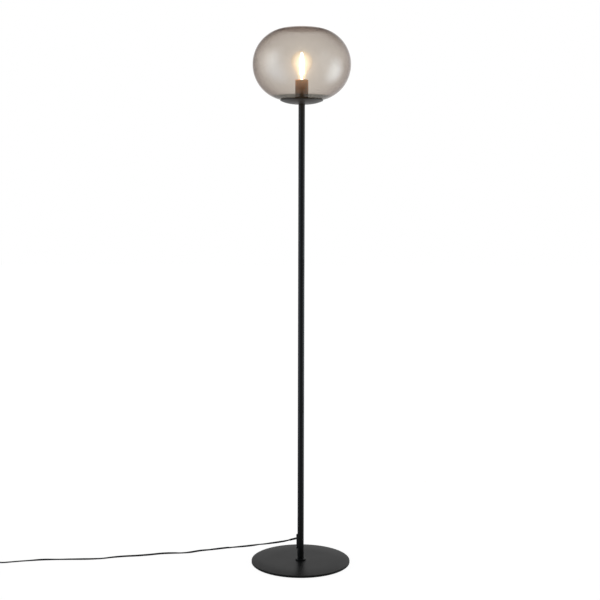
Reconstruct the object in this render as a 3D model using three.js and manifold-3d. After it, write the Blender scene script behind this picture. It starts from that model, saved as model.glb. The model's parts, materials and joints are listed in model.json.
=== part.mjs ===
// Globe floor lamp: a smoked glass globe on a slim three-section pole with a round steel base.
// Millimetres, +Z up. The origin is the centre of the base, on the floor.
// The mains cord leaves the pole towards -X.

import * as THREE from 'three';
import { mergeVertices } from 'three/addons/utils/BufferGeometryUtils.js';
import Module from 'manifold-3d';

const wasm = await Module();
wasm.setup();

// Clearances
const fitGap = 0.3; // between a piece and the bore it sits in
const seatGap = 0.1; // between flat faces that rest on each other
const cutOverrun = 4; // how far a cutting shape runs past what it cuts

// Base plate, pads and foot
const baseRadius = 140;
const baseThickness = 6;
const baseEdgeRound = 1;
const padRadius = 10;
const padThickness = 2;
const padRingRadius = 122;
const padCount = 4;
const screwShankRadius = 4.9;
const screwHeadRadius = 9.4;
const screwHeadLand = 0.6;
const screwSocketRadius = 3.5;
const screwSocketDepth = 3.5;
const collarRadius = 14.7;
const collarHeight = 3.5;
const collarEdgeRound = 0.8;
const footPlugClear = 7.1; // between the plug and the outlet's lower screw
const footPlugRoof = 8; // solid end above the screw

// Pole
const poleRadius = 9;
const poleWall = 1.2;
const sectionLength = 428.7;
const sectionCount = 3;
const seamGap = 0.2;
const insertLength = 20;
const studRadius = 5.5;
const studLength = 14;
const leadBoreRadius = 3.5;

// Flat twin cord
const cordWidth = 5.2;
const cordThickness = 3.2;

// Cord outlet on the pole
const exitHeight = 70;
const exitTilt = THREE.MathUtils.degToRad(14);
const outletHeight = 43;
const outletWidth = 12;
const outletProud = 3;
const outletDrop = 8.7; // from the cord's hole down to the plate's middle
const outletEdgeRound = 1;
const outletScrewInset = 5;
const outletScrewRadius = 1.5;
const outletScrewHeadRadius = 2.7;
const outletScrewHeadHeight = 1.6;
const outletScrewLength = 6;
const reliefLength = 20;
const reliefRootRadius = 4.1;
const reliefTipRadius = 3.6;
const reliefNeckRadius = 3.7;
const reliefNeckLength = 6;
const reliefFlatShare = 0.72; // its height over its width
const leadBendRadius = 6;
const gripLength = 12;
const gripLift = 24;

// Dish and gasket under the glass
const dishRadius = 59;
const dishWall = 1.5;
const dishHubRadius = 19;
const dishBowlDepth = 9;
const dishLipHeight = 3;
const gasketInset = 6.5; // from the dish's rim to the ring
const gasketWidth = 5;

// Threaded nipple, washer and nut
const nippleRadius = 4.9;
const nippleGrip = 15;
const washerRadius = 9.5;
const washerThickness = 1.5;
const nutAcrossFlats = 14;
const nutHeight = 3;

// Lampholder and its cover
const coverRadius = 18;
const coverWall = 1;
const coverFloor = 1.5;
const coverHeight = 63.9;
const holderRadius = 16;
const holderWall = 2.1;
const holderLift = 1;
const holderFloor = 5;
const holderCupHeight = 22.5;
const holderSleeveHeight = 29;
const contactRise = 4.5;
const contactThickness = 0.6;
const contactWidth = 6;
const contactLength = 16;

// Edison screw, 27 mm
const threadPitch = 3.629;
const threadMeanRadius = 12.6;
const threadHeight = 0.5; // from the mean radius to a crest
const threadClearance = 0.35;
const shellOuterRadius = 14.1;
const shellLength = 23;
const shellPlainLength = 9;
const capThreadLength = 18;
const capThreadStart = 0.6;
const capBoreRadius = 11.3;
const capCollarRadius = 13.1;
const capCollarWall = 0.4;
const capCollarHeight = 4.5;
const capInsulatorDepth = 4;
const capInsulatorTipRadius = 5.2;
const capInsulatorInset = 3;
const buttonHeight = 1.2;
const buttonRadius = 4.6;

// Clear bulb with upright filaments
const bulbRadius = 30;
const bulbNeckBlend = 45;
const bulbWall = 0.8;
const bulbGlassLength = 84;
const bulbNeckInset = 4;
const stemRadius = 2.6;
const stemFlareHeight = 14;
const filamentRadius = 0.9;
const filamentLength = 38;
const filamentRing = 8;
const filamentBase = 18;
const filamentCount = 4;
const hangerWire = 0.5;
const hangerHubRadius = 3.6;
const hangerHubHeight = 1.6;

// Glass globe
const globeRadius = 135;
const globeSideRadius = 97;
const globeCrownHeight = 97.5;
const globeWall = 2.2;
const globeLipInset = 3.5; // from the ring to the edge of the opening

// Foot switch on the cord
const switchX = -936;
const switchY = -19;
const switchLength = 84;
const switchWidth = 50;
const switchCornerRadius = 13;
const switchLowerHeight = 10;
const switchUpperHeight = 15;
const switchWall = 2;
const switchEdgeRound = 3;
const switchCordHeight = 8;
const spoutLength = 14;
const spoutRootRadius = 5.2;
const spoutTipRadius = 3.7;
const pedalRadius = 14;
const pedalProud = 5;
const pedalTravel = 3;
const pedalFlangeWidth = 2;
const pedalFlangeHeight = 1.6;
const pedalDishDepth = 1;
const moduleLength = 26;
const moduleWidth = 20;
const caseScrewRadius = 1.6;
const caseScrewHeadRadius = 3;
const caseScrewHeadHeight = 1.8;
const caseScrewInset = 10;
const caseBossRadius = 3.6;

// Plug
const plugX = -965; // where the cord enters its tail
const plugY = -149;
const plugTailLength = 24;
const plugBodyLength = 36;
const plugWidth = 35.3;
const plugThickness = 13.7;
const plugShoulderWidth = 15;
const plugEdgeRound = 2.4;
const pinRadius = 2;
const pinLength = 19;
const pinSpacing = 18.6;
const pinSleeveLength = 10;
const pinSleeveRadius = 1.9;
const pinSeat = 3;

// Storage coil
const coilX = -885;
const coilY = -113.3;
const coilOuterRadius = 34.3; // to the middle of the outermost turn
const coilTurns = 4.5;
const coilPitch = 5.7;
const coilLayerPitch = 3.7;
const tieThickness = 0.8;
const tieWidth = 8;

// Facets
const fineSides = 40;
const roundSides = 26;
const smallSides = 14;
const threadSides = 22;
const threadRowsPerTurn = 4;
const arcSteps = 3;
const coilStepsPerTurn = 24;

// Finishes
const finish = (color, roughness, metalness) =>
  () => new THREE.MeshStandardMaterial({ color, roughness, metalness });
const blackPowder = finish(0x1d1d1e, 0.6, 0.3);
const zincSteel = finish(0xa9adb0, 0.4, 0.9);
const brass = finish(0xb8925a, 0.35, 0.9);
const bronzePaint = finish(0x6b4a32, 0.45, 0.5);
const blackPlastic = finish(0x161616, 0.5, 0);
const cordVinyl = finish(0x121212, 0.55, 0);
const blackRubber = finish(0x1b1b1b, 0.8, 0);
const greyFelt = finish(0x3a3a3a, 0.95, 0);
const ivoryPlastic = finish(0xe6e0d2, 0.4, 0);
const blackGlass = finish(0x0c0c0e, 0.2, 0);
const nickel = finish(0xc4c4c0, 0.25, 1);
const filamentPhosphor = finish(0xffb347, 0.5, 0);
const clearGlass = () => new THREE.MeshStandardMaterial({
  color: 0xffffff, roughness: 0.02, metalness: 0, transparent: true, opacity: 0.25,
});
const smokedGlass = () => new THREE.MeshStandardMaterial({
  color: 0x8b7f78, roughness: 0.03, metalness: 0, transparent: true, opacity: 0.45,
});

const lamp = new THREE.Group();

function add(name, geometry, material, [x, y, z] = [0, 0, 0], parent = lamp) {
  const mesh = new THREE.Mesh(geometry, material());
  mesh.name = name;
  mesh.position.set(x, y, z);
  parent.add(mesh);
  return mesh;
}

function signedVolume(geometry) {
  const { position } = geometry.attributes;
  const index = geometry.index.array;
  const [a, b, c] = [new THREE.Vector3(), new THREE.Vector3(), new THREE.Vector3()];
  let six = 0;
  for (let i = 0; i < index.length; i += 3) {
    a.fromBufferAttribute(position, index[i]);
    b.fromBufferAttribute(position, index[i + 1]);
    c.fromBufferAttribute(position, index[i + 2]);
    six += a.dot(b.cross(c));
  }
  return six / 6;
}

// Merges shared corners, drops the collapsed triangles at a pole and turns the faces outward.
function closed(geometry) {
  geometry.deleteAttribute('normal');
  geometry.deleteAttribute('uv');
  const merged = mergeVertices(geometry);
  const index = merged.index.array;
  const kept = [];
  for (let i = 0; i < index.length; i += 3) {
    const [a, b, c] = [index[i], index[i + 1], index[i + 2]];
    if (a !== b && b !== c && c !== a) kept.push(a, b, c);
  }
  merged.setIndex(kept);
  if (signedVolume(merged) < 0) {
    for (let i = 0; i < kept.length; i += 3) [kept[i + 1], kept[i + 2]] = [kept[i + 2], kept[i + 1]];
    merged.setIndex(kept);
  }
  return merged;
}

function toManifold(geometry) {
  return new wasm.Manifold(new wasm.Mesh({
    numProp: 3,
    vertProperties: new Float32Array(geometry.attributes.position.array),
    triVerts: new Uint32Array(geometry.index.array),
  }));
}

function fromManifold(manifold) {
  const mesh = manifold.getMesh();
  const geometry = new THREE.BufferGeometry();
  geometry.setAttribute('position', new THREE.BufferAttribute(new Float32Array(mesh.vertProperties), 3));
  geometry.setIndex(new THREE.BufferAttribute(new Uint32Array(mesh.triVerts), 1));
  return geometry;
}

const cut = (geometry, ...tools) =>
  fromManifold(tools.reduce((rest, tool) => rest.subtract(toManifold(tool)), toManifold(geometry)));
const join = (geometry, ...others) =>
  fromManifold(others.reduce((rest, other) => rest.add(toManifold(other)), toManifold(geometry)));

// Points on an arc in a profile, angles in degrees, both ends included.
function arc(centreR, centreZ, radius, from, to, steps = arcSteps) {
  return Array.from({ length: steps + 1 }, (_, i) => {
    const angle = THREE.MathUtils.degToRad(from + ((to - from) * i) / steps);
    return [centreR + radius * Math.cos(angle), centreZ + radius * Math.sin(angle)];
  });
}

// Turns a profile of [radius, height] points about Z. It starts and ends on the axis, or closes on itself.
function turned(profile, sides = roundSides) {
  const points = profile.map(([r, z]) => new THREE.Vector2(r, z));
  const first = points[0];
  const last = points[points.length - 1];
  if (first.x > 0 || last.x > 0) points.push(first.clone());
  return closed(new THREE.LatheGeometry(points, sides).rotateX(Math.PI / 2));
}

const disc = (radius, bottom, top, sides) =>
  turned([[0, bottom], [radius, bottom], [radius, top], [0, top]], sides);
const ring = (inner, outer, bottom, top, sides) =>
  turned([[inner, bottom], [outer, bottom], [outer, top], [inner, top]], sides);

const alongX = (geometry) => geometry.rotateY(Math.PI / 2);

function prism(shape, height, options = {}) {
  return closed(new THREE.ExtrudeGeometry(shape, {
    depth: height, bevelEnabled: false, curveSegments: arcSteps, ...options,
  }));
}

// A rectangle with round corners, centred on the origin.
function roundedRectangle(width, height, radius) {
  const [x, y] = [width / 2, height / 2];
  const shape = new THREE.Shape();
  shape.moveTo(-x + radius, -y);
  shape.lineTo(x - radius, -y);
  shape.absarc(x - radius, -y + radius, radius, -Math.PI / 2, 0);
  shape.lineTo(x, y - radius);
  shape.absarc(x - radius, y - radius, radius, 0, Math.PI / 2);
  shape.lineTo(-x + radius, y);
  shape.absarc(-x + radius, y - radius, radius, Math.PI / 2, Math.PI);
  shape.lineTo(-x, -y + radius);
  shape.absarc(-x + radius, -y + radius, radius, Math.PI, 1.5 * Math.PI);
  return shape;
}

// The flat cord's section: eight corners of an oblong, wide along one axis of the sweep.
function cordSection(wideFirst) {
  const flat = (cordWidth - cordThickness) / 2;
  const round = cordThickness / 2;
  const reach = Math.cos(Math.PI / 8);
  const corners = Array.from({ length: 8 }, (_, i) => {
    const angle = ((i + 0.5) * Math.PI) / 4;
    const wide = Math.sign(Math.cos(angle)) * flat + round * Math.cos(angle);
    const thin = (round * Math.sin(angle)) / reach;
    return wideFirst ? new THREE.Vector2(wide, thin) : new THREE.Vector2(thin, wide);
  });
  return new THREE.Shape(corners);
}

// A stretch of cord along a list of [x, y, z] points, lying flat.
function cordStretch(route, steps) {
  const path = new THREE.CatmullRomCurve3(route.map((p) => new THREE.Vector3(...p)), false, 'centripetal');
  const upright = Math.abs(path.computeFrenetFrames(steps, false).normals[0].z) > Math.SQRT1_2;
  const shape = cordSection(!upright);
  return closed(new THREE.ExtrudeGeometry(shape, { steps, extrudePath: path, bevelEnabled: false }));
}

// Heights that the pieces share
const plateBottom = padThickness + seatGap;
const plateTop = plateBottom + baseThickness;
const poleBottom = plateTop + seatGap;
const poleBore = poleRadius - poleWall;
const insertRadius = poleBore - fitGap;
const outletCentre = exitHeight - outletDrop;
const outletScrewOffset = outletHeight / 2 - outletScrewInset;
const footPlugLength = outletCentre - outletScrewOffset - outletScrewRadius - footPlugClear - poleBottom;
const screwReach = footPlugLength - footPlugRoof;
const sectionPitch = sectionLength + seamGap;
const poleTop = poleBottom + sectionCount * sectionPitch - seamGap;
const dishBottom = poleTop + seatGap;
const dishTop = dishBottom + dishBowlDepth + dishLipHeight;
const coverBottom = dishBottom + dishWall + seatGap;
const washerBottom = coverBottom + coverFloor + seatGap;
const nutBottom = washerBottom + washerThickness + seatGap;
const holderBottom = nutBottom + nutHeight + holderLift;
const coreBottom = holderBottom + holderFloor + seatGap;
const coreTop = holderBottom + holderCupHeight;
const shellBottom = coreTop + seatGap;
const buttonBottom = coreTop + contactRise + fitGap;
const capBottom = buttonBottom + buttonHeight + seatGap + capInsulatorDepth;
const nippleTop = holderBottom + holderFloor;

// How far the glass surface lies below the equator at a radius
const globeDrop = (radius) =>
  Math.sqrt(globeSideRadius ** 2 - (radius - globeRadius + globeSideRadius) ** 2);
const equatorHeight = dishTop + fitGap + globeDrop(dishRadius);
const gasketOuterRadius = dishRadius - gasketInset;
const gasketInnerRadius = gasketOuterRadius - gasketWidth;
const globeOpeningRadius = gasketInnerRadius - globeLipInset;

function buildBase() {
  const holeRadius = screwShankRadius + fitGap;
  const sinkRadius = screwHeadRadius + fitGap;
  const sinkDepth = screwHeadLand + sinkRadius - holeRadius;
  const edge = baseRadius - baseEdgeRound;
  add('base_plate', turned([
    [sinkRadius, 0],
    ...arc(edge, baseEdgeRound, baseEdgeRound, -90, 0),
    ...arc(edge, baseThickness - baseEdgeRound, baseEdgeRound, 0, 90),
    [holeRadius, baseThickness],
    [holeRadius, sinkDepth],
    [sinkRadius, screwHeadLand],
  ], fineSides), blackPowder, [0, 0, plateBottom]);

  for (let i = 0; i < padCount; i++) {
    const angle = (2 * Math.PI * (i + 0.5)) / padCount;
    add(`felt_pad_${i + 1}`, disc(padRadius, 0, padThickness, smallSides), greyFelt,
      [padRingRadius * Math.cos(angle), padRingRadius * Math.sin(angle), 0]);
  }

  // Countersunk screw from below, with a hexagon socket
  const screwLength = baseThickness + seatGap + screwReach;
  const screw = turned([
    [0, 0],
    [screwHeadRadius, 0],
    [screwHeadRadius, screwHeadLand],
    [screwShankRadius, screwHeadLand + screwHeadRadius - screwShankRadius],
    [screwShankRadius, screwLength],
    [0, screwLength],
  ], smallSides);
  const socket = disc(screwSocketRadius, -cutOverrun, screwSocketDepth, 6);
  add('base_screw', cut(screw, socket), zincSteel, [0, 0, plateBottom]);

  const bore = poleRadius + fitGap;
  add('foot_collar', turned([
    [bore, 0],
    [collarRadius, 0],
    ...arc(collarRadius - collarEdgeRound, collarHeight - collarEdgeRound, collarEdgeRound, 0, 90),
    [bore, collarHeight],
  ]), blackPowder, [0, 0, plateTop + seatGap]);

  const plugBore = screwShankRadius + fitGap;
  const boreDepth = screwReach + fitGap;
  add('foot_plug', turned([
    [plugBore, 0],
    [insertRadius, 0],
    [insertRadius, footPlugLength],
    [0, footPlugLength],
    [0, boreDepth],
    [plugBore, boreDepth],
    [plugBore, 0],
  ], smallSides), zincSteel, [0, 0, poleBottom]);
}

// A hollow insert in a tube's end, with a threaded mouth for the next section's stud or for the nipple.
function socketInsert(mouthRadius, mouthDepth) {
  return turned([
    [leadBoreRadius, 0],
    [insertRadius, 0],
    [insertRadius, insertLength],
    [mouthRadius, insertLength],
    [mouthRadius, insertLength - mouthDepth],
    [leadBoreRadius, insertLength - mouthDepth],
  ], smallSides);
}

function studInsert() {
  return turned([
    [leadBoreRadius, -studLength - seamGap],
    [studRadius, -studLength - seamGap],
    [studRadius, 0],
    [insertRadius, 0],
    [insertRadius, insertLength],
    [leadBoreRadius, insertLength],
  ], smallSides);
}

// Holes in the lower tube, and the plate, screws, relief and grip that hold the cord there
function buildOutlet(lowerTube) {
  const face = poleRadius + outletProud;
  const alongExit = (geometry) => geometry.rotateY(-Math.PI / 2 - exitTilt).translate(-face, 0, exitHeight);

  const reliefHole = alongExit(
    disc(reliefNeckRadius + fitGap, -face, cutOverrun, smallSides).scale(reliefFlatShare, 1, 1),
  );
  const screwHeights = [1, -1].map((side) => outletCentre + side * outletScrewOffset);
  const screwHoles = screwHeights.map((height) =>
    alongX(disc(outletScrewRadius + fitGap, -face - cutOverrun, -insertRadius / 2, smallSides))
      .translate(0, 0, height));

  const tube = cut(lowerTube, ...[reliefHole, ...screwHoles].map((tool) =>
    tool.clone().translate(0, 0, -poleBottom)));

  const bevel = {
    bevelEnabled: true, bevelThickness: outletEdgeRound, bevelSize: outletEdgeRound, bevelSegments: 2,
  };
  const [width, height] = [outletWidth - 2 * outletEdgeRound, outletHeight - 2 * outletEdgeRound];
  const blank = prism(roundedRectangle(height, width, width / 2), face - 2 * outletEdgeRound, bevel)
    .rotateY(-Math.PI / 2)
    .translate(-outletEdgeRound, 0, outletCentre);
  const headSeats = screwHeights.map((seat) =>
    alongX(disc(outletScrewHeadRadius + fitGap, -face - cutOverrun, -face + outletScrewHeadHeight / 2, smallSides))
      .translate(0, 0, seat));
  const saddle = disc(poleRadius + fitGap, 0, 2 * exitHeight, roundSides);
  add('outlet_plate', cut(blank, saddle, reliefHole, ...screwHoles, ...headSeats), blackPlastic);

  screwHeights.forEach((seat, i) => {
    const under = outletScrewHeadHeight;
    const screw = turned([
      [0, 0],
      ...arc(outletScrewHeadRadius - under / 2, under / 2, under / 2, -90, 0),
      [outletScrewHeadRadius, under - seatGap],
      [outletScrewRadius, under - seatGap],
      [outletScrewRadius, outletScrewLength],
      [0, outletScrewLength],
    ], smallSides);
    add(`outlet_screw_${i + 1}`, alongX(screw), zincSteel, [-face - under / 2, 0, seat]);
  });

  // The flat cord passes through the relief, which tapers to it and is cut flush with the plate
  const boreRadius = cordWidth / 2 + 1.5 * fitGap;
  const sleeve = (profile) => alongExit(
    turned([[boreRadius, profile[0][1]], ...profile, [boreRadius, profile[profile.length - 1][1]]], smallSides)
      .scale(reliefFlatShare, 1, 1),
  );
  const taper = sleeve([[reliefRootRadius, -reliefRootRadius], [reliefTipRadius, reliefLength]]);
  const neck = sleeve([[reliefNeckRadius, -reliefNeckLength], [reliefNeckRadius, reliefNeckLength / 2]]);
  const behindFace = closed(new THREE.BoxGeometry(2 * face, 2 * face, 2 * outletHeight))
    .translate(-seatGap, 0, exitHeight);
  add('cord_relief', join(cut(taper, behindFace), neck), blackRubber);

  const gripHole = prism(cordSection(false), gripLength + 2 * cutOverrun)
    .scale(1 + (2 * fitGap) / cordThickness, 1 + (2 * fitGap) / cordWidth, 1)
    .translate(0, 0, -cutOverrun);
  add('cord_grip', cut(disc(insertRadius, 0, gripLength, smallSides), gripHole), blackPlastic,
    [0, 0, exitHeight + gripLift]);
  return tube;
}

function buildPole() {
  const tube = () => ring(poleBore, poleRadius, 0, sectionLength, roundSides);
  const bottoms = Array.from({ length: sectionCount }, (_, i) => poleBottom + i * sectionPitch);
  const names = ['pole_lower', 'pole_middle', 'pole_upper'];
  bottoms.forEach((bottom, i) => {
    const wall = i === 0 ? buildOutlet(tube()) : tube();
    add(names[i] ?? `pole_${i + 1}`, wall, blackPowder, [0, 0, bottom]);
    if (i > 0) {
      add(`joint_stud_${i}`, studInsert(), zincSteel, [0, 0, bottom]);
      add(`joint_socket_${i}`, socketInsert(studRadius + fitGap, studLength + 2 * seamGap), zincSteel,
        [0, 0, bottom - seamGap - insertLength]);
    }
  });
  add('top_socket', socketInsert(nippleRadius + fitGap, nippleGrip + fitGap), zincSteel,
    [0, 0, poleTop - insertLength]);
}

// The cord inside the pole: in through the outlet, round a bend and up to the lampholder
function buildInnerLead() {
  const face = poleRadius + outletProud;
  const [outX, outZ] = [Math.cos(exitTilt), Math.sin(exitTilt)];
  const tip = new THREE.Vector3(-face - reliefLength * outX, 0, exitHeight - reliefLength * outZ);
  const axisHeight = exitHeight + face * Math.tan(exitTilt);
  const turn = Math.PI / 2 - exitTilt;
  const tangent = leadBendRadius * Math.tan(turn / 2);
  const bendStart = new THREE.Vector3(-tangent * outX, 0, axisHeight - tangent * outZ);
  const bendEnd = new THREE.Vector3(0, 0, axisHeight + tangent);
  const path = new THREE.CurvePath();
  path.add(new THREE.LineCurve3(tip, bendStart));
  path.add(new THREE.QuadraticBezierCurve3(bendStart, new THREE.Vector3(0, 0, axisHeight), bendEnd));
  path.add(new THREE.LineCurve3(bendEnd, bendEnd.clone().setZ(bendEnd.z + leadBendRadius)));
  const bend = closed(new THREE.ExtrudeGeometry(cordSection(true), {
    steps: 5 * arcSteps, extrudePath: path, bevelEnabled: false,
  }));
  const rise = prism(cordSection(false), coreBottom - seatGap - bendEnd.z).translate(0, 0, bendEnd.z);
  add('inner_lead', join(bend, rise), cordVinyl);
}

// The dish is one circle arc from its flat hub to a short upright lip.
const bowlRadius = ((dishRadius - dishHubRadius) ** 2 + dishBowlDepth ** 2) / (2 * dishBowlDepth);
const bowlFloor = (radius) =>
  bowlRadius - Math.sqrt((bowlRadius - dishWall) ** 2 - (radius - dishHubRadius) ** 2);

function buildDish() {
  const bowlSteps = arcSteps + 1;
  const outerEnd = THREE.MathUtils.radToDeg(Math.asin((dishRadius - dishHubRadius) / bowlRadius));
  const innerRadius = dishRadius - dishWall;
  const innerEnd = THREE.MathUtils.radToDeg(Math.asin((innerRadius - dishHubRadius) / (bowlRadius - dishWall)));
  const lipTop = dishBowlDepth + dishLipHeight;
  const hole = nippleRadius + fitGap;
  add('dish', turned([
    [hole, 0],
    ...arc(dishHubRadius, bowlRadius, bowlRadius, -90, outerEnd - 90, bowlSteps),
    ...arc(dishRadius - dishWall / 2, lipTop - dishWall / 2, dishWall / 2, 0, 180),
    ...arc(dishHubRadius, bowlRadius, bowlRadius - dishWall, innerEnd - 90, -90, bowlSteps),
    [hole, dishWall],
  ], fineSides), blackPowder, [0, 0, dishBottom]);

  // Soft ring between the dish and the glass
  const glassUnder = (radius) => equatorHeight - dishBottom - globeDrop(radius);
  add('glass_gasket', turned([
    [gasketInnerRadius, bowlFloor(gasketInnerRadius) + fitGap],
    [gasketOuterRadius, bowlFloor(gasketOuterRadius) + fitGap],
    [gasketOuterRadius, glassUnder(gasketOuterRadius) - fitGap],
    [gasketInnerRadius, glassUnder(gasketInnerRadius) - fitGap],
  ], fineSides), blackRubber, [0, 0, dishBottom]);
}

function buildMountingStack() {
  const nippleBottom = poleTop - nippleGrip;
  add('threaded_nipple', ring(leadBoreRadius, nippleRadius, nippleBottom, nippleTop, smallSides), zincSteel);
  const bore = nippleRadius + fitGap;
  add('lock_washer', ring(bore, washerRadius, 0, washerThickness, smallSides), zincSteel, [0, 0, washerBottom]);
  const hexagon = disc(nutAcrossFlats / Math.sqrt(3), 0, nutHeight, 6);
  add('lock_nut', cut(hexagon, disc(bore, -cutOverrun, nutHeight + cutOverrun, smallSides)), zincSteel,
    [0, 0, nutBottom]);

  add('holder_cover', turned([
    [bore, 0],
    [coverRadius - coverWall, 0],
    ...arc(coverRadius - coverWall, coverWall, coverWall, -90, 0),
    ...arc(coverRadius - coverWall / 2, coverHeight - coverWall / 2, coverWall / 2, 0, 180),
    [coverRadius - coverWall, coverFloor],
    [bore, coverFloor],
  ]), bronzePaint, [0, 0, coverBottom]);
}

// A ring solid from a closed loop of { radius, z } levels, where a radius may follow the angle.
function ringSolid(levels, sides) {
  const positions = [];
  const index = [];
  levels.forEach(({ radius, z }) => {
    for (let j = 0; j < sides; j++) {
      const angle = (2 * Math.PI * j) / sides;
      const r = typeof radius === 'function' ? radius(angle) : radius;
      positions.push(r * Math.cos(angle), r * Math.sin(angle), z);
    }
  });
  const corner = (level, side) => (level % levels.length) * sides + (side % sides);
  for (let i = 0; i < levels.length; i++) {
    for (let j = 0; j < sides; j++) {
      const [a, b, c, d] = [corner(i, j), corner(i, j + 1), corner(i + 1, j + 1), corner(i + 1, j)];
      index.push(a, b, c, a, c, d);
    }
  }
  const geometry = new THREE.BufferGeometry();
  geometry.setAttribute('position', new THREE.Float32BufferAttribute(positions, 3));
  geometry.setIndex(index);
  return closed(geometry);
}

// Levels of a right-handed rolled thread. It runs out to its restRadius at both ends,
// and heights are counted from the bottom of the cap at rest, so cap and shell mesh.
function threadLevels(bottom, top, meanRadius, restRadius) {
  const rows = Math.round(((top - bottom) / threadPitch) * threadRowsPerTurn);
  return Array.from({ length: rows + 1 }, (_, i) => {
    const z = bottom + ((top - bottom) * i) / rows;
    const share = THREE.MathUtils.smoothstep(Math.min(z - bottom, top - z), 0, threadPitch / 2);
    const wave = (angle) => meanRadius + threadHeight * Math.cos((2 * Math.PI * z) / threadPitch - angle);
    return { z, radius: (angle) => restRadius + share * (wave(angle) - restRadius) };
  });
}

function buildLampholder() {
  const cupBore = holderRadius - holderWall;
  add('holder_cup', turned([
    [nippleRadius + fitGap, 0],
    ...arc(holderRadius - holderWall, holderWall, holderWall, -90, 0),
    [holderRadius, holderCupHeight],
    [cupBore, holderCupHeight],
    [cupBore, holderFloor],
    [nippleRadius + fitGap, holderFloor],
  ]), ivoryPlastic, [0, 0, holderBottom]);

  add('contact_block', disc(cupBore - fitGap, 0, coreTop - coreBottom), ivoryPlastic, [0, 0, coreBottom]);

  // Sprung tongue under the bulb's centre contact, bent up from a flat tab
  const half = contactLength / 2;
  const tongue = new THREE.Shape();
  tongue.moveTo(-half, 0);
  tongue.lineTo(half / 2, 0);
  tongue.bezierCurveTo(half, 0, half, contactRise / 2, half / 2, contactRise - contactThickness);
  tongue.bezierCurveTo(0, contactRise, -half / 4, contactRise, -half / 2, contactRise - 2 * contactThickness);
  tongue.lineTo(-half / 2, contactRise - 3 * contactThickness);
  tongue.bezierCurveTo(
    -half / 4, contactRise - contactThickness, 0, contactRise - contactThickness,
    half / 2 - contactThickness, contactRise - 2 * contactThickness,
  );
  tongue.bezierCurveTo(
    half - contactThickness, contactRise / 2, half - contactThickness, contactThickness,
    half / 2, contactThickness,
  );
  tongue.lineTo(-half, contactThickness);
  const strip = prism(tongue, contactWidth).rotateX(Math.PI / 2).translate(0, contactWidth / 2, 0);
  add('centre_contact', strip, brass, [0, 0, coreTop + seatGap]);

  add('holder_sleeve', ring(shellOuterRadius + fitGap, holderRadius, 0, holderSleeveHeight), ivoryPlastic,
    [0, 0, coreTop + seatGap]);

  const major = threadMeanRadius + threadHeight + threadClearance;
  const [bottom, top] = [shellBottom - capBottom, shellBottom - capBottom + shellLength];
  add('thread_shell', ringSolid([
    { radius: shellOuterRadius, z: top },
    { radius: shellOuterRadius, z: bottom },
    { radius: major, z: bottom },
    ...threadLevels(bottom + shellPlainLength, top, threadMeanRadius + threadClearance, major),
  ], threadSides), brass, [0, 0, capBottom]);
}

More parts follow.
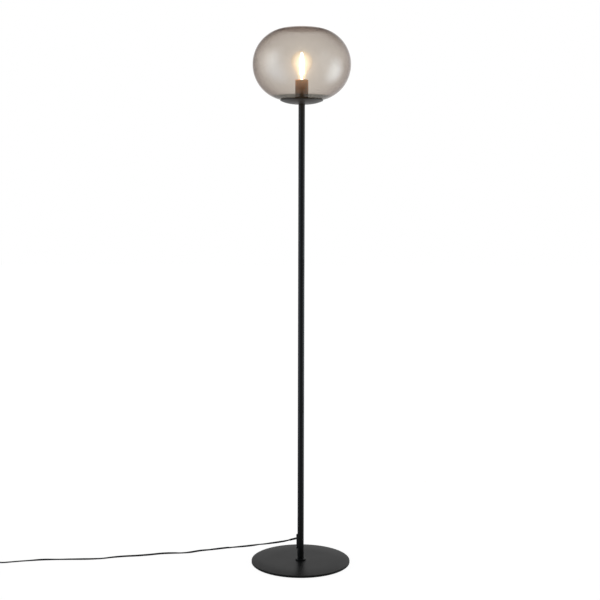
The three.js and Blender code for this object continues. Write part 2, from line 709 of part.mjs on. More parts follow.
function buildBulb() {
  const collarBottom = capThreadStart + capThreadLength;
  const collarTop = collarBottom + capCollarHeight;
  const collarBore = capCollarRadius - capCollarWall;
  add('bulb_cap', ringSolid([
    { radius: capBoreRadius, z: 0 },
    ...threadLevels(0, collarBottom, threadMeanRadius, threadMeanRadius - threadHeight),
    { radius: capCollarRadius, z: collarBottom + capCollarWall },
    { radius: capCollarRadius, z: collarTop },
    { radius: collarBore, z: collarTop },
    { radius: collarBore, z: collarBottom + capCollarWall },
    { radius: capBoreRadius, z: collarBottom - threadHeight },
  ], threadSides), nickel, [0, 0, capBottom]);

  add('cap_insulator', turned([
    [0, -capInsulatorDepth],
    [capInsulatorTipRadius, -capInsulatorDepth],
    [capBoreRadius - 2 * fitGap, -fitGap],
    [capBoreRadius - fitGap, -fitGap],
    [capBoreRadius - fitGap, capInsulatorInset],
    [0, capInsulatorInset],
  ], smallSides), blackGlass, [0, 0, capBottom]);
  add('cap_contact', turned([
    [0, 0],
    [buttonRadius / 2, 0],
    ...arc(buttonRadius / 2, buttonHeight, buttonHeight, -90, -45, 1),
    [buttonRadius, buttonHeight],
    [0, buttonHeight],
  ], smallSides), nickel, [0, 0, buttonBottom]);

  // The glass: a ball that runs into the neck over one hollow arc
  const neckRadius = collarBore - fitGap;
  const neckBottom = collarTop - bulbNeckInset;
  const ballCentre = neckBottom + bulbGlassLength - bulbRadius;
  const blendDrop = Math.sqrt((bulbRadius + bulbNeckBlend) ** 2 - (neckRadius + bulbNeckBlend) ** 2);
  const leave = THREE.MathUtils.radToDeg(Math.atan2(blendDrop, neckRadius + bulbNeckBlend));
  const skin = (inset) => [
    ...arc(neckRadius + bulbNeckBlend, ballCentre - blendDrop, bulbNeckBlend + inset, 180, 180 - leave, arcSteps),
    ...arc(0, ballCentre, bulbRadius - inset, -leave, 90, 2 * arcSteps + 2).slice(1),
  ];
  const outer = skin(0);
  const inner = skin(bulbWall).reverse();
  outer[outer.length - 1][0] = 0;
  inner[0][0] = 0;
  add('bulb_glass', turned([
    ...inner,
    [neckRadius - bulbWall, neckBottom],
    [neckRadius, neckBottom],
    ...outer,
  ], roundSides), clearGlass, [0, 0, capBottom]);

  // Stem, wire hangers and filaments inside
  const stemBottom = neckBottom + fitGap;
  const flareRadius = neckRadius - bulbWall - fitGap;
  const starGap = hangerWire + fitGap;
  const starPitch = filamentLength + 2 * starGap;
  const stemHeight = filamentBase + starPitch + hangerHubHeight + fitGap;
  add('bulb_stem', turned([
    [0, 0],
    [flareRadius, 0],
    [flareRadius - bulbWall, bulbWall],
    ...arc(stemRadius + stemFlareHeight, stemFlareHeight, stemFlareHeight, 220, 180, arcSteps),
    [stemRadius, stemHeight],
    [0, stemHeight],
  ], smallSides), clearGlass, [0, 0, capBottom + stemBottom]);

  const star = () => {
    const hub = ring(stemRadius + fitGap, hangerHubRadius, 0, hangerHubHeight, smallSides);
    const arms = Array.from({ length: filamentCount }, (_, i) => {
      const reach = filamentRing + filamentRadius - stemRadius - 2 * fitGap;
      return disc(hangerWire, 0, reach, 6).rotateY(Math.PI / 2)
        .translate(stemRadius + 2 * fitGap, 0, hangerHubHeight / 2)
        .rotateZ((2 * Math.PI * (i + 0.5)) / filamentCount);
    });
    return join(hub, ...arms);
  };
  const armHeight = hangerHubHeight / 2;
  const lowStar = capBottom + stemBottom + filamentBase;
  add('hanger_low', star(), nickel, [0, 0, lowStar]);
  add('hanger_high', star(), nickel, [0, 0, lowStar + starPitch]);
  for (let i = 0; i < filamentCount; i++) {
    const angle = (2 * Math.PI * (i + 0.5)) / filamentCount;
    add(`filament_${i + 1}`, disc(filamentRadius, 0, filamentLength, 8), filamentPhosphor,
      [filamentRing * Math.cos(angle), filamentRing * Math.sin(angle), lowStar + armHeight + starGap]);
  }
}

function buildGlobe() {
  // The crown is a flat arc that meets the side arc in one line
  const sideCentre = globeRadius - globeSideRadius;
  const rise = globeCrownHeight - globeSideRadius;
  const crownDrop = (sideCentre ** 2 - rise ** 2) / (2 * rise);
  const crownRadius = globeCrownHeight + crownDrop;
  const meet = THREE.MathUtils.radToDeg(Math.atan2(crownDrop, sideCentre));
  const skin = (inset) => {
    const side = globeSideRadius - inset;
    const angleAt = (radius) => -THREE.MathUtils.radToDeg(Math.acos((radius - sideCentre) / globeSideRadius));
    return [
      ...arc(sideCentre, 0, side, angleAt(globeOpeningRadius), angleAt(dishRadius), 2),
      ...arc(sideCentre, 0, side, angleAt(dishRadius), 0, 2 * arcSteps).slice(1),
      ...arc(sideCentre, 0, side, 0, meet, 2 * arcSteps).slice(1),
      ...arc(0, -crownDrop, crownRadius - inset, meet, 90, 2).slice(1),
    ];
  };
  const outer = skin(0);
  const inner = skin(globeWall).reverse();
  outer[outer.length - 1][0] = 0;
  inner[0][0] = 0;
  add('globe', turned([...inner, ...outer], fineSides), smokedGlass, [0, 0, equatorHeight]);
}

function buildSwitch() {
  const place = new THREE.Group();
  place.position.set(switchX, switchY, 0);
  lamp.add(place);
  const height = switchLowerHeight + seatGap + switchUpperHeight;
  const outline = (inset) => roundedRectangle(
    switchLength - 2 * inset, switchWidth - 2 * inset, switchCornerRadius - inset,
  );
  const screwX = switchLength / 2 - caseScrewInset;
  const spout = (side) => {
    const tip = switchLength / 2 + spoutLength;
    return turned([
      [0, switchLength / 2 - switchWall],
      [spoutRootRadius, switchLength / 2 - switchWall],
      [spoutTipRadius, tip],
      [0, tip],
    ], smallSides).scale(reliefFlatShare, 1, 1).rotateY((side * Math.PI) / 2).translate(0, 0, switchCordHeight);
  };
  const belowSplit = prism(roundedRectangle(
    switchLength + 3 * spoutLength, switchWidth, fitGap,
  ), height).translate(0, 0, switchLowerHeight);

  // Lower case with both cord spouts and countersunk screw holes
  const lowerBlank = join(prism(outline(0), switchLowerHeight), cut(spout(1), belowSplit), cut(spout(-1), belowSplit));
  const lowerCavity = prism(outline(switchWall), switchLowerHeight + cutOverrun).translate(0, 0, switchWall);
  const screwHoles = [-1, 1].map((side) => turned([
    [0, -cutOverrun],
    [caseScrewHeadRadius + fitGap, -cutOverrun],
    [caseScrewHeadRadius + fitGap, 2 * fitGap],
    [caseScrewRadius + fitGap, caseScrewHeadHeight + 2 * fitGap],
    [caseScrewRadius + fitGap, switchLowerHeight],
    [0, switchLowerHeight],
  ], smallSides).translate(side * screwX, 0, 0));
  add('switch_case_lower', cut(lowerBlank, lowerCavity, ...screwHoles), blackPlastic, [0, 0, 0], place);

  // Upper case with a round mouth for the pedal and two screw bosses
  const blank = prism(outline(switchEdgeRound), switchUpperHeight - 2 * switchEdgeRound, {
    bevelEnabled: true, bevelThickness: switchEdgeRound, bevelSize: switchEdgeRound, bevelSegments: 2,
  }).translate(0, 0, switchEdgeRound);
  const skirt = prism(outline(0), switchUpperHeight / 2);
  const upperCavity = prism(outline(switchWall), switchUpperHeight - switchWall + cutOverrun)
    .translate(0, 0, -cutOverrun);
  const mouth = disc(pedalRadius + fitGap, 0, switchUpperHeight + cutOverrun, roundSides);
  const bossDrop = switchLowerHeight - switchWall - fitGap;
  const bosses = [-1, 1].map((side) =>
    disc(caseBossRadius, -bossDrop, switchUpperHeight - switchWall / 2, smallSides).translate(side * screwX, 0, 0));
  const pilots = [-1, 1].map((side) =>
    disc(caseScrewRadius + fitGap, -bossDrop - cutOverrun, switchUpperHeight / 2, smallSides)
      .translate(side * screwX, 0, 0));
  const shell = cut(join(blank, skirt), upperCavity, mouth);
  add('switch_case_upper', cut(join(shell, ...bosses), ...pilots), blackPlastic,
    [0, 0, switchLowerHeight + seatGap], place);
  [-1, 1].forEach((side, i) => {
    const screw = turned([
      [0, 0],
      [caseScrewHeadRadius, 0],
      [caseScrewRadius, caseScrewHeadHeight],
      [caseScrewRadius, switchLowerHeight + switchUpperHeight / 3],
      [0, switchLowerHeight + switchUpperHeight / 3],
    ], smallSides);
    add(`case_screw_${i + 1}`, screw, zincSteel, [side * screwX, 0, fitGap], place);
  });

  // Round pedal, kept in by a flange under the case
  const top = height + pedalProud;
  const underCase = height - switchWall - fitGap;
  const flange = pedalRadius + pedalFlangeWidth;
  const moduleTop = underCase - pedalFlangeHeight - pedalTravel - 2 * fitGap;
  add('switch_pedal', turned([
    [0, underCase - pedalFlangeHeight],
    [flange, underCase - pedalFlangeHeight],
    [flange, underCase],
    [pedalRadius, underCase],
    ...arc(pedalRadius - pedalProud / 4, top - pedalProud / 4, pedalProud / 4, 0, 90),
    ...arc(0, top + (pedalRadius ** 2) / (4 * pedalDishDepth), (pedalRadius ** 2) / (4 * pedalDishDepth), -70, -90, 1)
      .slice(1),
  ]), blackPlastic, [0, 0, 0], place);
  const module = new THREE.BoxGeometry(moduleLength, moduleWidth, moduleTop - switchWall - seatGap);
  add('switch_module', closed(module), blackPlastic, [0, 0, (moduleTop + switchWall + seatGap) / 2], place);
}

function buildPlug() {
  const place = new THREE.Group();
  place.position.set(plugX, plugY, plugThickness / 2);
  lamp.add(place);
  // The body is outlined from above, from the pins' face to the shoulders at the tail
  const pinFace = -plugTailLength - plugBodyLength;
  const [wide, narrow] = [plugWidth / 2 - plugEdgeRound, plugShoulderWidth / 2 - plugEdgeRound];
  const [front, back] = [pinFace + plugEdgeRound, -plugTailLength - plugEdgeRound];
  const outline = new THREE.Shape();
  outline.moveTo(front, -wide);
  outline.lineTo((front + back) / 2, -wide);
  outline.bezierCurveTo((front + 2 * back) / 3, -wide, (front + 5 * back) / 6, -narrow, back, -narrow);
  outline.lineTo(back, narrow);
  outline.bezierCurveTo((front + 5 * back) / 6, narrow, (front + 2 * back) / 3, wide, (front + back) / 2, wide);
  outline.lineTo(front, wide);
  const slab = prism(outline, plugThickness - 2 * plugEdgeRound, {
    bevelEnabled: true, bevelThickness: plugEdgeRound, bevelSize: plugEdgeRound, bevelSegments: 2,
  }).translate(0, 0, plugEdgeRound - plugThickness / 2);
  const tail = turned([
    [0, 0],
    [spoutTipRadius, 0],
    [spoutRootRadius, plugTailLength],
    [spoutRootRadius, plugTailLength + plugBodyLength / 3],
    [0, plugTailLength + plugBodyLength / 3],
  ], smallSides).scale(reliefFlatShare, 1, 1).rotateY(-Math.PI / 2);
  const pinHoles = [-1, 1].map((side) =>
    alongX(disc(pinRadius + fitGap, -cutOverrun, pinSeat + fitGap, smallSides))
      .translate(pinFace, (side * pinSpacing) / 2, 0));
  add('plug_body', cut(join(slab, tail), ...pinHoles), blackPlastic, [0, 0, 0], place);

  [-1, 1].forEach((side, i) => {
    const bare = pinLength - pinSleeveLength;
    const pin = turned([
      [0, 0],
      ...arc(pinRadius / 2, pinRadius / 2, pinRadius / 2, -90, 0, 2),
      [pinRadius, bare],
      [pinSleeveRadius, bare],
      [pinSleeveRadius, pinLength + pinSeat],
      [0, pinLength + pinSeat],
    ], smallSides);
    add(`plug_pin_${i + 1}`, alongX(pin), nickel, [pinFace - pinLength, (side * pinSpacing) / 2, 0], place);
  });
}

// The cord from the relief to the foot switch: down behind the base, then along the floor
const leadRoute = [
  [-31.7, 0, 65.1], [-38, 0, 63.5], [-46, 0, 61.6], [-58, 3, 58.7], [-70, 7, 55.5], [-82, 13, 52],
  [-94, 20, 48], [-106, 28, 44], [-118, 37, 40], [-140, 51, 32.6], [-163, 66, 25.2], [-187, 81, 18.2],
  [-210, 92, 12.4], [-232, 98, 7.6], [-252, 101, 4.4], [-272, 101, 2.4], [-288, 97.5, 1.8], [-305, 89, 1.75],
  [-320, 81, 1.75], [-340, 76, 1.75], [-374, 72, 1.75], [-405, 67, 1.75], [-442, 55, 1.75], [-475, 47.5, 1.75],
  [-510, 42, 1.75], [-545, 33, 1.75], [-576, 22.5, 1.75], [-610, 17, 1.75], [-655, 15.5, 1.75], [-700, 14, 1.75],
  [-747, 9, 1.75], [-802, -2, 1.75], [-834, -11, 1.75], [-850, -15.5, 2.2], [-862, -18, 4.6], [-871, -19, 7.2],
  [-879.7, -19, 8],
];

// From the foot switch round a wide turn to the coil
const tailRoute = [
  [-992.3, -19, 8], [-1001, -19, 7.4], [-1010, -19.3, 5.2], [-1020, -20.4, 2.8], [-1029, -23, 1.8],
  [-1036.5, -29, 1.75], [-1041.5, -36.5, 1.75], [-1044, -49, 1.75], [-1041.5, -61.5, 1.75], [-1036.5, -69, 1.75],
  [-1029, -75, 1.75], [-1018, -78.4, 1.75], [-1000, -79, 1.75], [-970, -79, 1.75], [-940, -79, 1.8],
  [-915, -79, 2.4], [-898, -79, 2.7], [-890.5, -79, 2.7],
];

// From the coil's upper layer to the plug
const plugRoute = [
  [-890.5, -147.6, 6.4], [-900, -147.6, 5.8], [-911, -147.8, 3.8], [-922, -148.2, 2], [-933, -148.7, 1.8],
  [-944, -149, 3], [-953, -149, 5.2], [-959, -149, 6.5], [-964.7, -149, 6.85],
];

// Points down the middle of the coil: in on the lower layer, up over half a turn, out on the upper one.
function coilPoints() {
  const bottom = tieThickness + fitGap + cordThickness / 2;
  const steps = coilTurns * coilStepsPerTurn;
  const points = [];
  for (let i = 0; i <= steps; i++) {
    const turns = i / coilStepsPerTurn;
    const inward = Math.min(turns, coilTurns - turns);
    const radius = coilOuterRadius - coilPitch * inward;
    const angle = Math.PI / 2 - 2 * Math.PI * turns;
    const climb = THREE.MathUtils.smoothstep(turns, coilTurns / 2 - 0.25, coilTurns / 2 + 0.25);
    points.push(new THREE.Vector3(
      coilX + radius * Math.cos(angle), coilY + radius * Math.sin(angle), bottom + coilLayerPitch * climb,
    ));
  }
  const straight = new THREE.Vector3(-cordWidth, 0, 0);
  points.unshift(points[0].clone().add(straight));
  points.push(points[points.length - 1].clone().add(straight));
  return points;
}

// The least gap between turns of the flat cord, measured between their level sections.
function leastGap(points) {
  const flat = cordWidth - cordThickness;
  let least = Infinity;
  for (let i = 0; i < points.length; i++) {
    for (let j = i + coilStepsPerTurn / 2; j < points.length; j++) {
      const across = Math.hypot(points[i].x - points[j].x, points[i].y - points[j].y);
      const over = Math.abs(points[i].z - points[j].z);
      least = Math.min(least, Math.hypot(Math.max(across - flat, 0), over) - cordThickness);
    }
  }
  return least;
}

function buildCord() {
  add('cord_lead', cordStretch(leadRoute, 70), cordVinyl);
  add('cord_tail', cordStretch(tailRoute, 24), cordVinyl);
  add('cord_end', cordStretch(plugRoute, 10), cordVinyl);

  // Six-sided flat section, kept level, carried along the coil's points
  const points = coilPoints();
  const [half, thin] = [cordWidth / 2, cordThickness / 2];
  const shoulder = half - thin / 2;
  const section = [[half, 0], [shoulder, thin], [-shoulder, thin], [-half, 0], [-shoulder, -thin], [shoulder, -thin]];
  const positions = [];
  points.forEach((point, i) => {
    const ahead = points[Math.min(i + 1, points.length - 1)];
    const behind = points[Math.max(i - 1, 0)];
    const along = ahead.clone().sub(behind).setZ(0).normalize();
    section.forEach(([across, up]) =>
      positions.push(point.x + across * along.y, point.y - across * along.x, point.z + up));
  });
  const sides = section.length;
  const index = [];
  for (let i = 0; i + 1 < points.length; i++) {
    for (let j = 0; j < sides; j++) {
      const [a, b] = [i * sides + j, i * sides + ((j + 1) % sides)];
      index.push(a, b, b + sides, a, b + sides, a + sides);
    }
  }
  const last = (points.length - 1) * sides;
  for (let j = 1; j + 1 < sides; j++) {
    index.push(0, j + 1, j);
    index.push(last, last + j, last + j + 1);
  }
  const geometry = new THREE.BufferGeometry();
  geometry.setAttribute('position', new THREE.Float32BufferAttribute(positions, 3));
  geometry.setIndex(index);
  add('cord_coil', closed(geometry), cordVinyl);
  console.log(`least gap between the coil's turns: ${leastGap(points).toFixed(2)} mm`);

  // Flat strap round the bundle on the coil's +X side
  const outer = coilOuterRadius + cordWidth / 2 + fitGap;
  const innerTurn = coilOuterRadius - (coilTurns / 2) * coilPitch - cordWidth / 2;
  const inner = innerTurn - (tieWidth / 2) ** 2 / innerTurn - fitGap;
  const tall = coilLayerPitch + cordThickness + 2 * fitGap;
  const wide = outer - inner;
  const strap = roundedRectangle(wide + 2 * tieThickness, tall + 2 * tieThickness, tieThickness + fitGap);
  strap.holes.push(roundedRectangle(wide, tall, fitGap));
  add('coil_tie', prism(strap, tieWidth).rotateX(Math.PI / 2), blackRubber,
    [coilX + (inner + outer) / 2, coilY + tieWidth / 2, tieThickness + tall / 2]);
}

buildBase();
buildPole();
buildInnerLead();
buildDish();
buildMountingStack();
buildLampholder();
buildBulb();
buildGlobe();
buildCord();
buildSwitch();
buildPlug();

export default lamp;
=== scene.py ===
import bpy, json, math
from mathutils import Matrix, Vector

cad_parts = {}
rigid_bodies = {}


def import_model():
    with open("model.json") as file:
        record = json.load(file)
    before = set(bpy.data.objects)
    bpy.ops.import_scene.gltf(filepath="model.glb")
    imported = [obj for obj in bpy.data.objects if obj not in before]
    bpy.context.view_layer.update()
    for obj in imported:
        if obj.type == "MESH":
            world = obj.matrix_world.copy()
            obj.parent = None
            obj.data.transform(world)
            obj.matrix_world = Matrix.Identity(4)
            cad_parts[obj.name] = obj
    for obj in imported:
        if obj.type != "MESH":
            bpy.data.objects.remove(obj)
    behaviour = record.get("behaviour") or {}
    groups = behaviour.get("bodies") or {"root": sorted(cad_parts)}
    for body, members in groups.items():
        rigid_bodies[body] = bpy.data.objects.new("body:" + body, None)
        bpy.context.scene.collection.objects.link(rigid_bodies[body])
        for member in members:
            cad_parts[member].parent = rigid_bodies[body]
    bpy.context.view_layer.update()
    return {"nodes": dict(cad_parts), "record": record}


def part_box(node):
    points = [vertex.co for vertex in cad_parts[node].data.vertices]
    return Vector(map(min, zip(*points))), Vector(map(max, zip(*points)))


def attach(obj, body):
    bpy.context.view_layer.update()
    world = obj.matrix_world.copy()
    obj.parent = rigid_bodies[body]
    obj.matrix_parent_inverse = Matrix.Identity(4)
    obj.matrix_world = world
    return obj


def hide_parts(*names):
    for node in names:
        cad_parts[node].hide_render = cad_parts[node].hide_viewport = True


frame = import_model()
mm = 0.001
near = 0.001  # mm; heights nearer to each other than this count as one
overrun = 2  # mm by which a cutter passes what it cuts
print("frame loaded:", len(frame["nodes"]), "nodes")


# camera

cameraView = {
    "place": (-6.5, -3079.2, 1035.5),
    "pan": 0.0574,
    "tilt": 5.2419,
    "roll": 0.1431,
    "focalPixels": 1105.0,
    "framePixels": 600,
    "sensor": 36.0,
    "farthest": 60,
}


def makeCamera(c):
    pan, tilt, roll = (math.radians(c[k]) for k in ("pan", "tilt", "roll"))
    right = Vector((math.cos(pan), -math.sin(pan), 0))
    forward = Vector((math.sin(pan) * math.cos(tilt), math.cos(pan) * math.cos(tilt), -math.sin(tilt)))
    up = right.cross(forward)
    cosine, sine = math.cos(roll), math.sin(roll)
    right, up = right * cosine + up * sine, up * cosine - right * sine
    lens = bpy.data.cameras.new("photoCamera")
    lens.sensor_width = c["sensor"]
    lens.lens = c["focalPixels"] / c["framePixels"] * c["sensor"]
    lens.clip_end = c["farthest"]
    holder = bpy.data.objects.new("photoCamera", lens)
    bpy.context.scene.collection.objects.link(holder)
    turn = Matrix((right, up, -forward)).transposed().to_4x4()
    holder.matrix_world = Matrix.Translation(Vector(c["place"]) * mm) @ turn
    bpy.context.scene.camera = holder


makeCamera(cameraView)
print("camera placed")


# small modelling tools

def deselectAll():
    if bpy.context.object and bpy.context.object.mode != "OBJECT":
        bpy.ops.object.mode_set(mode="OBJECT")
    bpy.ops.object.select_all(action="DESELECT")


def pick(piece):
    deselectAll()
    piece.select_set(True)
    bpy.context.view_layer.objects.active = piece


def applyPlace(piece):
    pick(piece)
    bpy.ops.object.transform_apply(location=True, rotation=True, scale=True)


def smooth(piece, angle=35):
    pick(piece)
    bpy.ops.object.shade_smooth_by_angle(angle=math.radians(angle))


def carve(piece, cutter, operation="DIFFERENCE"):
    pick(piece)
    modifier = piece.modifiers.new("Boolean", "BOOLEAN")
    modifier.object, modifier.operation, modifier.solver = cutter, operation, "EXACT"
    bpy.ops.object.modifier_apply(modifier=modifier.name)
    bpy.data.objects.remove(cutter)


def faceOutwards():
    # ends an edit with every face of the piece turned outwards
    bpy.ops.mesh.select_all(action="SELECT")
    bpy.ops.mesh.normals_make_consistent(inside=False)
    bpy.ops.object.mode_set(mode="OBJECT")


def selectWhere(piece, keep, kind="VERT"):
    # leaves the piece in edit mode with the elements that pass the test selected
    bpy.ops.object.mode_set(mode="EDIT")
    bpy.ops.mesh.select_mode(type=kind)
    bpy.ops.mesh.select_all(action="DESELECT")
    bpy.ops.object.mode_set(mode="OBJECT")
    elements = {"VERT": piece.data.vertices, "EDGE": piece.data.edges, "FACE": piece.data.polygons}[kind]
    for element in elements:
        element.select = bool(keep(element))
    bpy.ops.object.mode_set(mode="EDIT")


def arc(centreR, centreZ, radius, start, end, steps=8):
    angles = [math.radians(start + (end - start) * i / steps) for i in range(steps + 1)]
    return [(centreR + radius * math.cos(a), centreZ + radius * math.sin(a)) for a in angles]


def turnPiece(name, rings, sides=96, hard=35):
    # a lathe by hand: one circle, extruded and resized ring by ring; rings are (radius, height) in mm
    deselectAll()
    tip = 0.02
    rings = [(max(r, tip), z) for r, z in rings]
    bpy.ops.mesh.primitive_circle_add(vertices=sides, radius=rings[0][0] * mm,
                                      location=(0, 0, rings[0][1] * mm))
    piece = bpy.context.object
    piece.name = piece.data.name = name
    applyPlace(piece)
    bpy.ops.object.mode_set(mode="EDIT")
    bpy.ops.mesh.select_mode(type="VERT")
    bpy.ops.mesh.select_all(action="SELECT")
    if rings[0][0] == tip:
        bpy.ops.mesh.edge_face_add()
        bpy.ops.mesh.select_all(action="SELECT")
    for (r0, z0), (r1, z1) in zip(rings, rings[1:]):
        bpy.ops.mesh.extrude_region_move(TRANSFORM_OT_translate={"value": (0, 0, (z1 - z0) * mm)})
        if r1 != r0:
            bpy.ops.transform.resize(value=(r1 / r0, r1 / r0, 1), center_override=(0, 0, z1 * mm))
    if rings[0] != rings[-1] and rings[0][0] != tip:
        bpy.ops.mesh.edge_face_add()
    bpy.ops.mesh.select_all(action="SELECT")
    bpy.ops.mesh.remove_doubles(threshold=near * mm)
    faceOutwards()
    smooth(piece, hard)
    return piece


def placePiece(piece, place=(0, 0, 0), turn=(0, 0, 0), scale=(1, 1, 1)):
    piece.location = Vector(place) * mm
    piece.rotation_euler = [math.radians(a) for a in turn]
    piece.scale = scale
    applyPlace(piece)
    return piece


def copyPiece(piece, name, place):
    twin = piece.copy()
    twin.data = piece.data.copy()
    twin.name = twin.data.name = name
    bpy.context.scene.collection.objects.link(twin)
    return placePiece(twin, place)


def discAt(radius, bottom, top, place=(0, 0), sides=48):
    deselectAll()
    bpy.ops.mesh.primitive_cylinder_add(vertices=sides, radius=radius * mm, depth=(top - bottom) * mm,
                                        location=(place[0] * mm, place[1] * mm, (bottom + top) / 2 * mm))
    piece = bpy.context.object
    applyPlace(piece)
    return piece


def boxAt(low, high):
    deselectAll()
    low, high = Vector(low) * mm, Vector(high) * mm
    bpy.ops.mesh.primitive_cube_add(size=1, location=(low + high) / 2, scale=high - low)
    piece = bpy.context.object
    applyPlace(piece)
    return piece


def nodeBox(node):
    low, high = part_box(node)
    return Vector(low) / mm, Vector(high) / mm


def finishPiece(piece, body, slot, *nodes, finish=None):
    piece.data.materials.clear()
    piece.data.materials.append(finish or finishes[slot])
    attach(piece, body)
    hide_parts(*nodes)


# materials

class Term:
    # one socket of a material; arithmetic on terms adds Math nodes

    def __init__(self, maker, socket):
        self.maker, self.socket = maker, socket

    def math(self, operation, first, second):
        return self.maker.node("ShaderNodeMath", {"operation": operation}, {0: first, 1: second})

    def __add__(self, other): return self.math("ADD", self, other)
    def __radd__(self, other): return self.math("ADD", other, self)
    def __sub__(self, other): return self.math("SUBTRACT", self, other)
    def __rsub__(self, other): return self.math("SUBTRACT", other, self)
    def __mul__(self, other): return self.math("MULTIPLY", self, other)
    def __rmul__(self, other): return self.math("MULTIPLY", other, self)
    def __pow__(self, other): return self.math("POWER", self, other)


class Maker:
    # adds nodes to a tree and joins them

    def __init__(self, tree):
        self.tree = tree

    def join(self, value, socket):
        if isinstance(value, Term):
            self.tree.links.new(value.socket, socket)
        else:
            socket.default_value = value

    def node(self, kind, settings=None, inputs=None, output=0):
        made = self.tree.nodes.new(kind)
        for key, value in (settings or {}).items():
            setattr(made, key, value)
        for key, value in (inputs or {}).items():
            self.join(value, made.inputs[key])
        return Term(self, made.outputs[output])

    def vector(self, operation, first, second=(0, 0, 0), scale=1.0, output=0):
        return self.node("ShaderNodeVectorMath", {"operation": operation},
                         {0: first, 1: second, 3: scale}, output)

    def part(self, value, axis):
        return self.node("ShaderNodeSeparateXYZ", inputs={0: value}, output=axis)

    def ramp(self, value, start, end, low=0.0, high=1.0):
        # smooth step from low at start to high at end
        return self.node("ShaderNodeMapRange", {"interpolation_type": "SMOOTHSTEP"}, {
            "Value": value, "From Min": start, "From Max": end, "To Min": low, "To Max": high})

    def blend(self, factor, first, second):
        # output 2 of a colour Mix node is its colour result
        return self.node("ShaderNodeMix", {"data_type": "RGBA"}, {0: factor, 6: first, 7: second}, output=2)

    def mixShaders(self, factor, first, second):
        return self.node("ShaderNodeMixShader", inputs={0: factor, 1: first, 2: second})


class Finish(Maker):
    # a material with one Principled shader and the nodes that feed it

    def __init__(self, name, **sockets):
        self.material = bpy.data.materials.new(name)
        self.material.use_nodes = True
        super().__init__(self.material.node_tree)
        self.shader = self.tree.nodes["Principled BSDF"]
        self.surface = Term(self, self.shader.outputs[0])
        self.feed(**sockets)
        self.place = self.node("ShaderNodeTexCoord", output="Object")

    def feed(self, **sockets):
        names = {key: key.replace("_", " ").title().replace("Ior", "IOR") for key in sockets}
        for key, value in sockets.items():
            self.join(value, self.shader.inputs[names[key]])
        return self

    def edge(self):
        # 0 where the surface faces the eye, 1 where the eye meets it edge on
        return self.node("ShaderNodeLayerWeight", inputs={"Blend": 0.5}, output="Facing")

    def clear(self, colour):
        return self.node("ShaderNodeBsdfTransparent", inputs={"Color": colour})

    def wear(self, surface):
        self.join(surface, self.tree.nodes["Material Output"].inputs["Surface"])
        return self.material

    def noise(self, scale, detail=2.0, roughness=0.5, stretch=None):
        where = self.place
        if stretch:
            where = self.node("ShaderNodeMapping", inputs={"Vector": self.place, "Scale": stretch})
        return self.node("ShaderNodeTexNoise", inputs={
            "Vector": where, "Scale": scale, "Detail": detail, "Roughness": roughness,
        })

    def bump(self, height, strength, distance):
        self.feed(normal=self.node("ShaderNodeBump", inputs={
            "Height": height, "Strength": strength, "Distance": distance * mm,
        }))
        return self


def grey(level):
    return (level, level, level, 1)


def powderCoat(name, dark, light, roughness, grain=900):
    # baked powder paint: fine orange peel, with faint cloudiness in its gloss
    finish = Finish(name, specular_ior_level=0.25)
    cloud = finish.noise(scale=14, detail=3)
    peel = finish.noise(scale=grain)
    finish.feed(base_color=finish.blend(cloud, dark, light), roughness=roughness + 0.08 * (cloud - 0.5))
    return finish.bump(peel, strength=0.18, distance=0.12).material


def castPlastic(name, dark, light, roughness, grain=1400, depth=0.06):
    finish = Finish(name)
    cloud = finish.noise(scale=30)
    texture = finish.noise(scale=grain, detail=3, roughness=0.6)
    finish.feed(base_color=finish.blend(cloud, dark, light), roughness=roughness + 0.10 * (texture - 0.5))
    return finish.bump(texture, strength=0.25, distance=depth).material


def platedMetal(name, dark, light, roughness):
    # bright plating with fine scratches round each turned piece
    finish = Finish(name, metallic=1.0)
    cloud = finish.noise(scale=60)
    lines = finish.noise(scale=700, roughness=0.6, stretch=(1, 1, 12))
    finish.feed(base_color=finish.blend(cloud, dark, light), roughness=roughness + 0.15 * (lines - 0.5))
    return finish.bump(lines, strength=0.06, distance=0.03).material


def cordSheath():
    # soft vinyl, slightly mottled, with a dull sheen
    finish = Finish("cordVinyl", specular_ior_level=0.3)
    cloud = finish.noise(scale=90, detail=3)
    finish.feed(base_color=finish.blend(cloud, grey(0.006), grey(0.012)),
                roughness=0.50 + 0.12 * (cloud - 0.5))
    return finish.bump(finish.noise(scale=1600), strength=0.12, distance=0.03).material


def softRubber():
    finish = Finish("blackRubber")
    cloud = finish.noise(scale=160, detail=3)
    finish.feed(base_color=finish.blend(cloud, grey(0.014), grey(0.028)),
                roughness=0.72 + 0.1 * (cloud - 0.5))
    return finish.bump(cloud, strength=0.2, distance=0.04).material


def pressedFelt():
    finish = Finish("greyFelt", sheen_weight=0.4)
    fibres = finish.noise(scale=1500, detail=6, roughness=0.75)
    finish.feed(base_color=finish.blend(fibres, grey(0.02), grey(0.07)), roughness=0.95 - 0.05 * fibres)
    return finish.bump(fibres, strength=0.7, distance=0.3).material


smoke = {
    # rim: the edge tint, partly the glass's own and partly painted shade where the upper half mirrors dark
    # surroundings
    # thick: the grey round the mouth, thicker glass with a painted reflection of the dish
    "middle": (0.865, 0.845, 0.82, 1), "rim": (0.26, 0.165, 0.130, 1), "thick": (0.43, 0.43, 0.41, 1),
    # between which heights, in metres, the tint and its painted shade change
    "upper": (1.375, 1.430), "crown": (1.478, 1.496), "flat": (1.4980, 1.4984), "mouth": (1.3170, 1.3135),
}


